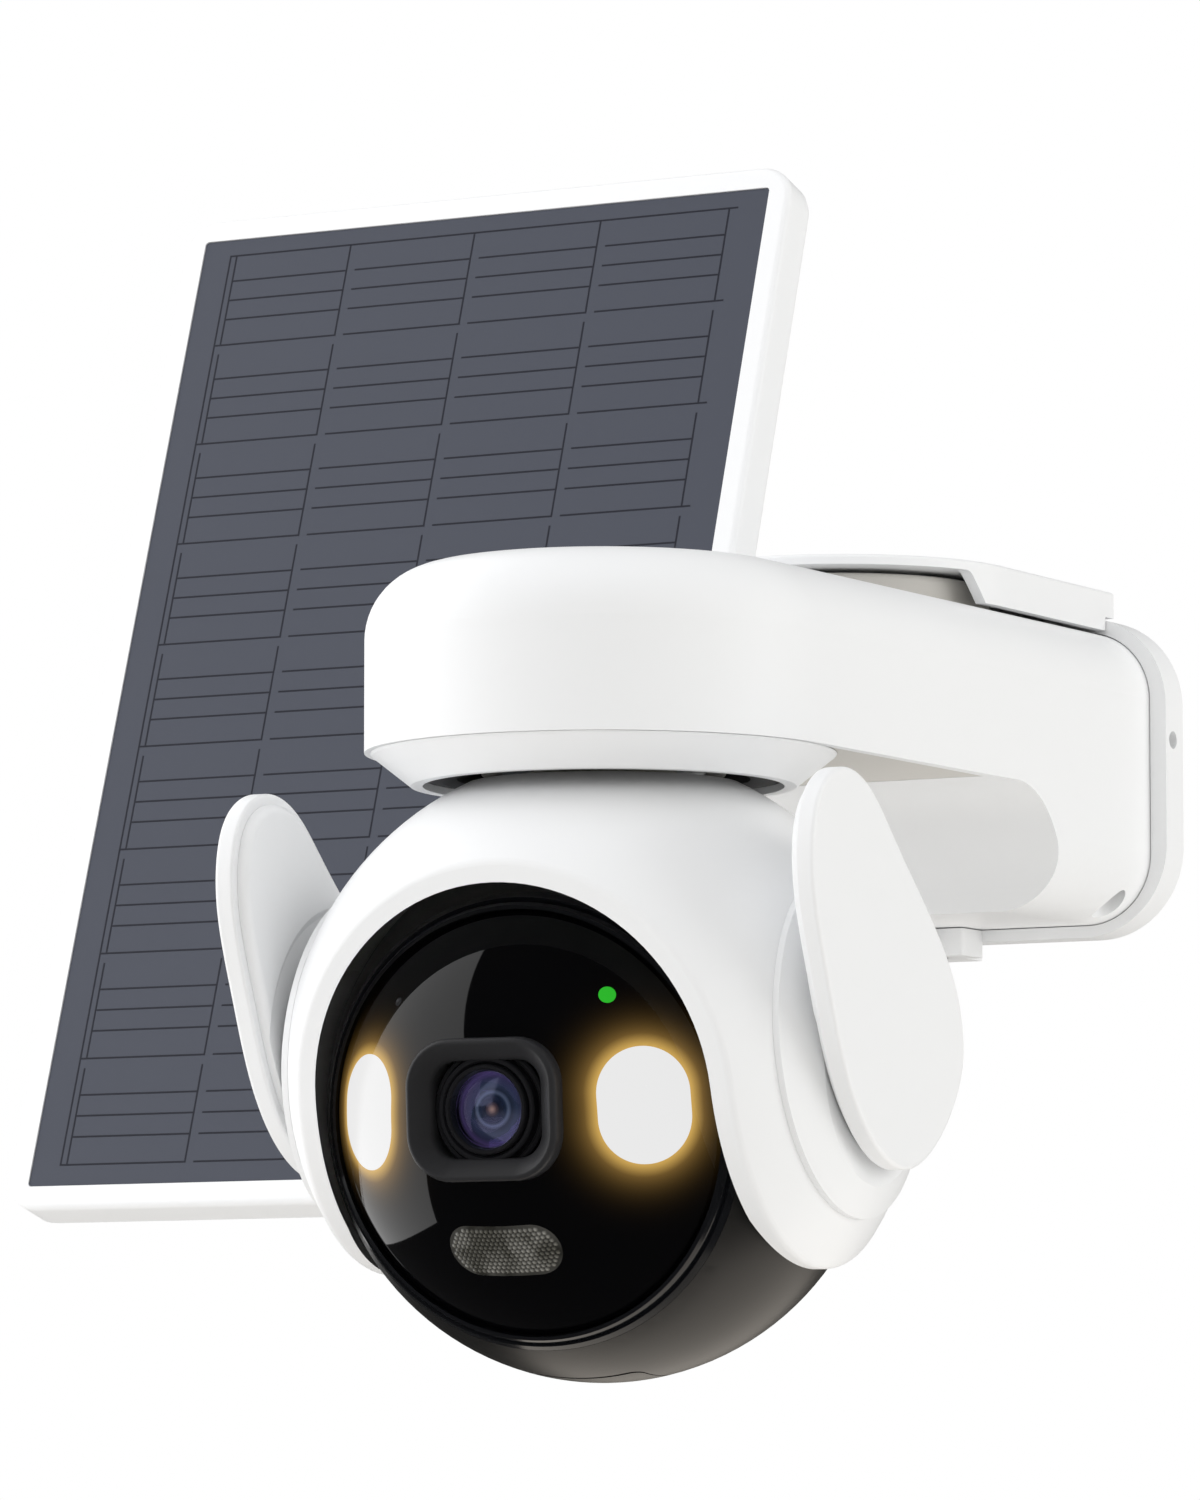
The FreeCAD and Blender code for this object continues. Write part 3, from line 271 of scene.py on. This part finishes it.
def finishTree(tree, out, geometry, material):
    whole = addNode(tree, "GeometryNodeRealizeInstances", links={"Geometry": geometry})
    dressed = addNode(tree, "GeometryNodeSetMaterial", {"Material": material}, {"Geometry": whole.outputs[0]})
    tree.links.new(dressed.outputs[0], out.inputs[0])


def grown(tree, base, values):
    # runs the tree on a mesh and gives the result as a plain mesh
    holder = bpy.data.objects.new("holder", base)
    bpy.context.scene.collection.objects.link(holder)
    modifier = holder.modifiers.new("grow", "NODES")
    modifier.node_group = tree
    for item in tree.interface.items_tree:
        if item.in_out == "INPUT" and item.name in values:
            modifier[item.identifier] = values[item.name]
    bpy.context.view_layer.update()
    evaluated = holder.evaluated_get(bpy.context.evaluated_depsgraph_get())
    mesh = bpy.data.meshes.new_from_object(evaluated)
    bpy.data.objects.remove(holder)
    return mesh


def pointsMesh(points):
    mesh = bpy.data.meshes.new("places")
    mesh.from_pydata(points, [], [])
    return mesh


panel = {"width": 123.8 * mm, "height": 194.3 * mm, "thick": 2.15 * mm, "side": 6.0 * mm, "top": 3.6 * mm,
         "columns": 4, "rows": 9, "columnPitch": 27.5 * mm, "rowPitch": 20.95 * mm,
         "cellHeight": 19.2 * mm, "gap": 1.7 * mm, "line": 0.34 * mm, "proud": 0.03 * mm,
         "busbars": (0.285, 0.5, 0.715)}
panelLeft = -panel["width"] / 2 + panel["side"]
panelTop = panel["height"] / 2 - panel["top"]
laminate = mouldedPlastic("etfeLaminateOverCells", "#474b57", 0.5, grainMm=0.5, depthMm=0.006, spread=0.03)
busbarInk = mouldedPlastic("busbarRibbonDark", "#1b1d2b", 0.5)


def strip(bm, x0, x1, z0, z1):
    # a thin printed bar in the panel's front face
    faceY = -panel["thick"] / 2
    y0 = faceY - panel["proud"]
    y1 = faceY + panel["proud"]
    corners = [bm.verts.new((x, y, z)) for x in (x0, x1) for y in (y0, y1) for z in (z0, z1)]
    for face in ((0, 1, 3, 2), (4, 6, 7, 5), (0, 4, 5, 1), (2, 3, 7, 6), (0, 2, 6, 4), (1, 5, 7, 3)):
        bm.faces.new([corners[i] for i in face])


def cellMotif():
    # one cell drawn from its lower left corner: lower line, right line and three busbars
    bm = bmesh.new()
    pitch, gap, line, high = panel["columnPitch"], panel["gap"], panel["line"], panel["cellHeight"]
    strip(bm, gap, pitch, 0, line)
    strip(bm, pitch - line, pitch, line, high)
    for share in panel["busbars"]:
        strip(bm, gap, pitch - line, share * high, share * high + line)
    mesh = bpy.data.meshes.new("cellMotif")
    bm.to_mesh(mesh)
    bm.free()
    return mesh


def panelEdges(bm):
    # lines that only the outer columns and the top row have
    left, top, line, gap = panelLeft, panelTop, panel["line"], panel["gap"]
    right = left + panel["columns"] * panel["columnPitch"]
    low = top - panel["cellHeight"] - (panel["rows"] - 1) * panel["rowPitch"]
    strip(bm, left, right + gap, top, top + line)
    strip(bm, left, left + line, low, top)
    for row in range(panel["rows"]):
        base = top - panel["cellHeight"] - row * panel["rowPitch"]
        strip(bm, left + gap - line, left + gap, base + line, base + panel["cellHeight"])
        strip(bm, left + line, left + gap, base, base + line)
        strip(bm, right, right + gap, base, base + line)


def makePanel():
    dress("panel_glass", laminate)
    dress("solar_cells", laminate)
    motif = bpy.data.objects.new("motif", cellMotif())
    tree, given, out = newTree("cellPattern", [
        ("Geometry", "NodeSocketGeometry", None), ("Columns", "NodeSocketInt", panel["columns"]),
        ("Rows", "NodeSocketInt", panel["rows"]), ("Column Pitch", "NodeSocketFloat", panel["columnPitch"]),
        ("Row Pitch", "NodeSocketFloat", panel["rowPitch"])])
    down = addNode(tree, "ShaderNodeMath", {"operation": "MULTIPLY", 1: -1.0},
                   {0: given.outputs["Row Pitch"]})
    drop = addNode(tree, "ShaderNodeCombineXYZ", links={"Z": down.outputs[0]})
    across = addNode(tree, "ShaderNodeCombineXYZ", links={"X": given.outputs["Column Pitch"]})
    rowLine = addNode(tree, "GeometryNodeMeshLine",
                      links={"Count": given.outputs["Rows"], "Offset": drop.outputs[0]})
    columnLine = addNode(tree, "GeometryNodeMeshLine",
                         links={"Count": given.outputs["Columns"], "Offset": across.outputs[0]})
    cell = addNode(tree, "GeometryNodeObjectInfo", {"Object": motif})
    rowOfCells = addNode(tree, "GeometryNodeInstanceOnPoints",
                         links={"Points": columnLine.outputs[0], "Instance": cell.outputs["Geometry"]})
    allCells = addNode(tree, "GeometryNodeInstanceOnPoints",
                       links={"Points": rowLine.outputs[0], "Instance": rowOfCells.outputs[0]})
    finishTree(tree, out, allCells.outputs[0], busbarInk)
    cells = grown(tree, pointsMesh([(0, 0, 0)]), {
        "Columns": panel["columns"], "Rows": panel["rows"], "Column Pitch": panel["columnPitch"],
        "Row Pitch": panel["rowPitch"]})
    cells.transform(Matrix.Translation((panelLeft, 0, panelTop - panel["cellHeight"])))
    bm = bmesh.new()
    bm.from_mesh(cells)
    panelEdges(bm)
    bm.to_mesh(cells)
    bm.free()
    bpy.data.objects.remove(motif)
    newPiece("panelCellLines", cells, panelFrame, busbarInk, "panel")
    print("panel lines made")


makePanel()


window = {"edgeRadius": 34.1 * mm, "wall": 1.6 * mm, "rings": 96, "around": 216,
          "holeWidth": 23.2 * mm, "holeHeight": 19.4 * mm, "holeCorner": 6.0 * mm}
spot = {"width": 15.0 * mm, "height": 18.6 * mm, "corner": 7.45 * mm, "rise": 4.0, "reach": 4.8 * mm}
port = {"outer": 0.8 * mm, "lip": 0.72 * mm, "crown": 0.5 * mm, "inner": 0.34 * mm, "depth": 0.1 * mm}


def outsideBy(point, plan, cornerName="corner", widthName="width", heightName="height"):
    # how far a place lies outside a rounded rectangle, less than nothing inside it
    corner = plan[cornerName]
    across = max(abs(point.x) - plan[widthName] / 2 + corner, 0)
    along = max(abs(point.z) - plan[heightName] / 2 + corner, 0)
    return math.hypot(across, along) - corner


def glowAt(point):
    # how much of a spotlight's warm spill reaches a place on the window
    best = 0.0
    for side in (-1, 1):
        local = (turnZ(side * optics["spotTurn"]) @ turnX(-spot["rise"])).inverted() @ point
        if local.y < 0:
            away = max(outsideBy(local, spot), 0)
            best = max(best, math.exp(-((away / spot["reach"] * 2.1) ** 1.25)))
    return best


def underHood(point):
    local = turnX(-optics["lensRise"]).inverted() @ point
    return outsideBy(local, window, "holeCorner", "holeWidth", "holeHeight") < 0


def windowMaterial():
    # polished black polycarbonate: a hard clear gloss over a dark body, warm where light spills in it
    material, tree, shader = newMaterial("polishedPolycarbonateBlack", "#030304", 0.03, IOR=1.5)
    spill = addNode(tree, "ShaderNodeAttribute", {"attribute_name": "spill"})
    warm = addNode(tree, "ShaderNodeValToRGB", links={"Fac": spill.outputs["Fac"]})
    ramp = warm.color_ramp
    ramp.elements[0].color = toLinear("#000000")
    ramp.elements[1].color = toLinear("#cfa758")
    middle = ramp.elements.new(0.42)
    middle.color = toLinear("#6b5228")
    tree.links.new(warm.outputs["Color"], shader.inputs["Emission Color"])
    shader.inputs["Emission Strength"].default_value = 1.0
    place = addNode(tree, "ShaderNodeTexCoord").outputs["Object"]
    haze = addNode(tree, "ShaderNodeTexNoise", {"Scale": 60.0, "Detail": 2.0}, {"Vector": place})
    gloss = addNode(tree, "ShaderNodeMapRange", {"To Min": 0.02, "To Max": 0.05},
                    {"Value": haze.outputs["Fac"]})
    tree.links.new(gloss.outputs["Result"], shader.inputs["Roughness"])
    return material


def makeWindow():
    radius, around = optics["windowRadius"], window["around"]
    edge = math.asin(window["edgeRadius"] / radius)
    bm = bmesh.new()
    rings = []
    for ring in range(1, window["rings"] + 1):
        lean = edge * ring / window["rings"]
        loop = []
        for step in range(around):
            angle = math.tau * step / around
            loop.append(bm.verts.new((radius * math.sin(lean) * math.cos(angle), -radius * math.cos(lean),
                                      radius * math.sin(lean) * math.sin(angle))))
        rings.append(loop)
    for first, second in zip(rings, rings[1:]):
        for i in range(around):
            j = (i + 1) % around
            middle = (first[i].co + second[j].co) / 2
            if not underHood(middle):
                bm.faces.new((first[i], second[i], second[j], first[j]))
    bmesh.ops.delete(bm, geom=[v for v in bm.verts if not v.link_faces], context="VERTS")
    bmesh.ops.recalc_face_normals(bm, faces=bm.faces)
    mesh = bpy.data.meshes.new("window")
    bm.to_mesh(mesh)
    bm.free()
    spill = mesh.attributes.new("spill", "FLOAT", "POINT")
    for vertex in mesh.vertices:
        spill.data[vertex.index].value = glowAt(vertex.co)
    dome = newPiece("domedWindow", mesh, ballFrame, windowMaterial(), "ball", 60)
    wall = dome.modifiers.new("wall", "SOLIDIFY")
    wall.thickness = window["wall"]
    wall.offset = -1.0
    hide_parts("front_window")
    rim = lathe([(0.0, 0.0), (port["inner"], -0.02 * mm), (port["crown"], -0.06 * mm),
                 (port["lip"], -0.05 * mm), (port["outer"], port["depth"]), (0.0, port["depth"])], 24)
    aim = ballFrame @ turnZ(-optics["dotTurn"]) @ turnX(-optics["dotRise"])
    place = aim @ Matrix.Translation((0, -radius, 0))
    newPiece("microphonePort", rim, place, lensBlack, "ball")
    print("window made")


makeWindow()


sensor = {"width": 19.2 * mm, "height": 8.9 * mm, "margin": 0.45 * mm, "facet": 0.82 * mm, "rise": 0.26 * mm,
          "lift": 0.02 * mm}


def sensorMaterial():
    # smoky polyethylene with pressed facets: cloudy, a soft shine, and a painted highlight that lightens each
    # facet towards its tip
    material, tree, shader = newMaterial("pressedPolyethyleneSmoke", "#5c5b57", 0.22, IOR=1.54)
    place = addNode(tree, "ShaderNodeTexCoord").outputs["Object"]
    # painted highlight: each facet is made lighter towards its tip, where it would catch the light
    tipHighlight = addNode(tree, "ShaderNodeAttribute", {"attribute_name": "tipHighlight"})
    light = addNode(tree, "ShaderNodeMapRange", {"To Min": 0.35, "To Max": 1.9},
                    {"Value": tipHighlight.outputs["Fac"]})
    cloud = addNode(tree, "ShaderNodeTexNoise", {"Scale": 210.0, "Detail": 1.0, "Distortion": 0.6},
                    {"Vector": place})
    shade = addNode(tree, "ShaderNodeValToRGB", links={"Fac": cloud.outputs["Fac"]})
    shade.color_ramp.elements[0].position = 0.36
    shade.color_ramp.elements[0].color = toLinear("#45443e")
    shade.color_ramp.elements[1].position = 0.66
    shade.color_ramp.elements[1].color = toLinear("#6f6e69")
    lit = addNode(tree, "ShaderNodeVectorMath", {"operation": "SCALE"},
                  {"Scale": light.outputs["Result"], 0: shade.outputs["Color"]})
    tree.links.new(lit.outputs[0], shader.inputs["Base Color"])
    return material


def makeSensor():
    material = sensorMaterial()
    dress("motion_sensor_window", material)
    radius = optics["windowRadius"] + sensor["lift"]
    tree, given, out = newTree("pressedFacets", [
        ("Geometry", "NodeSocketGeometry", None), ("Facet", "NodeSocketFloat", sensor["facet"]),
        ("Rise", "NodeSocketFloat", sensor["rise"])])
    cone = addNode(tree, "GeometryNodeMeshCone", {"Vertices": 6},
                   {"Radius Bottom": given.outputs["Facet"], "Depth": given.outputs["Rise"]})
    where = addNode(tree, "GeometryNodeInputPosition")
    aim = addNode(tree, "FunctionNodeAlignRotationToVector", {"axis": "Z"}, {"Vector": where.outputs[0]})
    placed = addNode(tree, "GeometryNodeInstanceOnPoints",
                     links={"Points": given.outputs["Geometry"], "Instance": cone.outputs["Mesh"],
                            "Rotation": aim.outputs[0]})
    finishTree(tree, out, placed.outputs[0], material)
    # places on a six-sided grid, inside the window's round-ended outline
    places = []
    step = sensor["facet"] * 1.04
    rowStep = step * 0.866
    half = sensor["height"] / 2
    rows = int(sensor["height"] / 2 / rowStep) + 1
    columns = int(sensor["width"] / 2 / step) + 1
    for row in range(-rows, rows + 1):
        z = row * rowStep
        for column in range(-columns, columns + 1):
            x = (column + 0.5 * (row % 2)) * step
            across = max(abs(x) - sensor["width"] / 2 + half, 0)
            if math.hypot(across, z) < half - sensor["margin"]:
                places.append((x, -math.sqrt(radius ** 2 - x * x - z * z), z))
    facets = grown(tree, pointsMesh(places), {"Facet": sensor["facet"] * 0.58, "Rise": sensor["rise"]})
    # how far up its facet a point lies, which drives the painted highlight
    tipHighlight = facets.attributes.new("tipHighlight", "FLOAT", "POINT")
    for vertex in facets.vertices:
        tipHighlight.data[vertex.index].value = min(max((vertex.co.length - radius) / sensor["rise"], 0.0), 1.0)
    aimed = ballFrame @ turnX(-optics["sensorDrop"])
    newPiece("sensorFacets", facets, aimed, material, "ball", 10)
    print("sensor facets made:", len(places))


makeSensor()


lens = {"hoodWidth": 26.4, "hoodHeight": 22.6, "corner": 7.6, "leastCorner": 2.0, "frontY": -45.0,
        "glassRadius": 6.1, "glassCurve": 10.0, "glassFrontY": -43.2,
        "innerRadius": 5.8, "innerFrontY": -40.2, "innerSag": 1.6}


def glassMaterial():
    # coated front element: clear and hard, with a violet and blue bloom
    material, tree, shader = newMaterial("coatedOpticalGlass", "#eef0fa", 0.01, IOR=1.45,
                                         Transmission_Weight=1.0)
    shader.inputs["Specular Tint"].default_value = toLinear("#b79cff")
    place = addNode(tree, "ShaderNodeTexCoord").outputs["Object"]
    bloom = addNode(tree, "ShaderNodeTexNoise", {"Scale": 120.0, "Detail": 1.0}, {"Vector": place})
    tint = addNode(tree, "ShaderNodeValToRGB", links={"Fac": bloom.outputs["Fac"]})
    tint.color_ramp.elements[0].color = toLinear("#e6dcff")
    tint.color_ramp.elements[1].color = toLinear("#dfeaff")
    tree.links.new(tint.outputs["Color"], shader.inputs["Base Color"])
    return material


def elementMaterial():
    # inner glass seen through the front one: painted reflection rings from its rim to the iris, a painted
    # highlight at its centre, and a glow that stands in for light
    material, tree, shader = newMaterial("innerLensPaintedReflections", "#2a3040", 0.12, IOR=1.6)
    rings = addNode(tree, "ShaderNodeAttribute", {"attribute_name": "ring"})
    shade = addNode(tree, "ShaderNodeValToRGB", links={"Fac": rings.outputs["Fac"]})
    ramp = shade.color_ramp
    ramp.elements[0].color = toLinear("#a98a72")
    ramp.elements[1].color = toLinear("#1a1a22")
    # painted reflections: teal, grey and violet rings, with a warm painted highlight at the centre
    for share, colour in ((0.12, "#4a3b36"), (0.2, "#151b24"), (0.36, "#1b2733"), (0.42, "#55606b"),
                          (0.5, "#222a34"), (0.62, "#303a47"), (0.78, "#2d2f40"), (0.9, "#4a3d60")):
        ramp.elements.new(share).color = toLinear(colour)
    tree.links.new(shade.outputs["Color"], shader.inputs["Base Color"])
    tree.links.new(shade.outputs["Color"], shader.inputs["Emission Color"])
    # painted glow: emission lights the painted rings, as the front glass keeps the lamps off them
    shader.inputs["Emission Strength"].default_value = 0.55
    return material


def lensHood():
    # a rounded square tube: outer wall, rolled front lip, inner slope; (outward offset, depth from the front)
    profile = [(-1.35, 7.8), (-1.35, 3.4), (0.0, 3.2), (0.08, 2.6), (0.05, 1.0), (-0.1, 0.4), (-0.4, 0.08),
               (-0.75, 0.0), (-0.95, 0.08), (-3.2, 2.2), (-3.5, 2.6), (-3.6, 3.4), (-3.7, 7.8)]
    rings = []
    for grow, depth in profile:
        corner = max(lens["corner"] + grow, lens["leastCorner"])
        outline = roundedRectangle(lens["hoodWidth"] + 2 * grow, lens["hoodHeight"] + 2 * grow, corner)
        rings.append([Vector((x, lens["frontY"] + depth, z)) * mm for x, z in outline])
    return loft(rings, True)


def lensBarrel():
    # the barrel's rear wall, its outer face, then the rings stepping in to the glass
    steps = [(0.0, -30.0), (9.8, -30.0), (9.8, -41.0), (9.5, -41.25), (9.0, -41.25), (8.8, -40.9),
             (8.6, -40.9), (8.45, -42.3), (8.2, -42.5), (7.7, -42.5), (7.5, -42.2), (7.3, -41.9),
             (7.15, -42.7), (6.95, -42.9), (6.55, -42.9), (6.3, -42.6), (6.2, -41.2), (5.9, -38.2),
             (0.0, -38.2)]
    return lathe([(radius * mm, y * mm) for radius, y in steps])


def innerLens():
    radius, front, backY, slices = lens["innerRadius"], lens["innerFrontY"], -38.1, 12
    profile = [(0.0, front)]
    for step in range(1, slices + 1):
        share = step / slices
        profile.append((radius * share, front + lens["innerSag"] * share ** 2))
    profile += [(radius, backY), (0.0, backY)]
    mesh = lathe([(r * mm, y * mm) for r, y in profile], 64)
    ring = mesh.attributes.new("ring", "FLOAT", "POINT")
    for vertex in mesh.vertices:
        ring.data[vertex.index].value = math.hypot(vertex.co.x, vertex.co.z) / (radius * mm)
    return mesh


def frontGlass():
    radius, curve, slices = lens["glassRadius"], lens["glassCurve"], 16
    centreY = lens["glassFrontY"] + curve
    profile = [(0.0, lens["glassFrontY"])]
    for step in range(1, slices + 1):
        angle = math.asin(radius / curve) * step / slices
        profile.append((curve * math.sin(angle), centreY - curve * math.cos(angle)))
    profile += [(radius, -40.9), (3.0, -41.5), (0.0, -41.7)]
    return lathe([(r * mm, y * mm) for r, y in profile])


def makeLens():
    hood = newPiece("lensHoodFrame", lensHood(), lensFrame, hoodBlack, "ball", 50)
    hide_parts("lens_hood")
    barrel = newPiece("lensBarrelSteps", lensBarrel(), lensFrame, lensBlack, "ball", 25)
    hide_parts("lens_barrel")
    newPiece("innerLens", innerLens(), lensFrame, elementMaterial(), "ball", 60)
    glass = newPiece("frontLensGlass", frontGlass(), lensFrame, glassMaterial(), "ball", 60)
    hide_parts("lens_glass")
    print("lens made")


makeLens()


view = {"turn": 29.5, "rise": 5.8, "place": (0.6009, -1.2253, -0.12865), "lens": 180.0, "sensor": 36.0}


def makeCamera():
    data = bpy.data.cameras.new("camera")
    data.lens = view["lens"]
    data.sensor_width = view["sensor"]
    camera = bpy.data.objects.new("camera", data)
    camera.location = view["place"]
    camera.rotation_euler = (math.radians(90 + view["rise"]), 0, math.radians(view["turn"]))
    bpy.context.scene.collection.objects.link(camera)
    bpy.context.scene.camera = camera
    return camera


def makeFloor():
    bm = bmesh.new()
    bmesh.ops.create_grid(bm, x_segments=2, y_segments=2, size=3.0)
    mesh = bpy.data.meshes.new("floor")
    bm.to_mesh(mesh)
    bm.free()
    mesh.materials.append(mouldedPlastic("mattPaintedFloor", "#efedea", 0.7, grainMm=2.0))
    floor = bpy.data.objects.new("floor", mesh)
    floor.location = (0, 0, -0.32)
    bpy.context.scene.collection.objects.link(floor)
    floor.visible_glossy = False


def makeWorld():
    # white behind the object, soft white light on it, and nearly nothing for the gloss to mirror
    world = bpy.data.worlds.new("studio")
    bpy.context.scene.world = world
    world.use_nodes = True
    tree = world.node_tree
    tree.nodes.clear()
    paths = addNode(tree, "ShaderNodeLightPath")
    white = addNode(tree, "ShaderNodeBackground", {"Color": toLinear("#ffffff"), "Strength": 1.0})
    soft = addNode(tree, "ShaderNodeBackground", {"Color": toLinear("#fffefb"), "Strength": 0.68})
    dim = addNode(tree, "ShaderNodeBackground", {"Color": toLinear("#ffffff"), "Strength": 0.03})
    lit = addNode(tree, "ShaderNodeMixShader",
                  links={0: paths.outputs["Is Glossy Ray"], 1: soft.outputs[0], 2: dim.outputs[0]})
    seen = addNode(tree, "ShaderNodeMixShader",
                   links={0: paths.outputs["Is Camera Ray"], 1: lit.outputs[0], 2: white.outputs[0]})
    out = addNode(tree, "ShaderNodeOutputWorld")
    tree.links.new(seen.outputs[0], out.inputs["Surface"])
    bpy.context.scene.view_settings.view_transform = "Standard"


def addLight(name, place, target, width, height, power, colour="#ffffff", roll=0.0):
    data = bpy.data.lights.new(name, "AREA")
    data.shape = "RECTANGLE"
    data.size = width
    data.size_y = height
    data.energy = power
    data.color = toLinear(colour)[:3]
    light = bpy.data.objects.new(name, data)
    light.location = place
    light.rotation_euler = (Vector(target) - Vector(place)).to_track_quat("-Z", "Y").to_euler()
    light.rotation_euler.rotate_axis("Z", math.radians(roll))
    bpy.context.scene.collection.objects.link(light)
    return light


def makeStudio():
    camera = makeCamera()
    makeFloor()
    makeWorld()
    turned = camera.rotation_euler.to_matrix()

    def fromBall(right, up, nearer):
        # a place given as seen by the camera, counted from the ball
        return ballCentre + turned @ Vector((right, up, nearer))

    # three soft boxes shape the white shells; they don't show in the gloss
    coolWhite = "#f6f8ff"
    softBoxes = (
        addLight("topBox", (0.1, -0.5, 1.2), (0, -0.05, 0), 1.2, 1.0, 4.0, coolWhite),
        addLight("rightBox", (1.5, 0.25, 0.1), (0, -0.1, 0), 1.0, 1.0, 9.0),
        addLight("leftFill", fromBall(-1.1, 0.4, 0.38), ballCentre, 0.8, 0.8, 3.2, coolWhite))
    for light in softBoxes:
        light.visible_glossy = False
    # a card that only the domed window's lower half mirrors
    low = addLight("lowCard", fromBall(0.12, -0.24, -0.14), ballCentre, 0.45, 0.3, 0.42, "#fff6ea")
    low.visible_diffuse = False
    low.visible_camera = False
    # a large tilted box at the left, whose edge runs across the domed window
    addLight("leftBox", fromBall(-0.887, 0.278, -0.414), fromBall(-0.087, 0.078, 0.151), 2.1, 1.9, 12.5,
             roll=-30)
    print("studio made")


makeStudio()
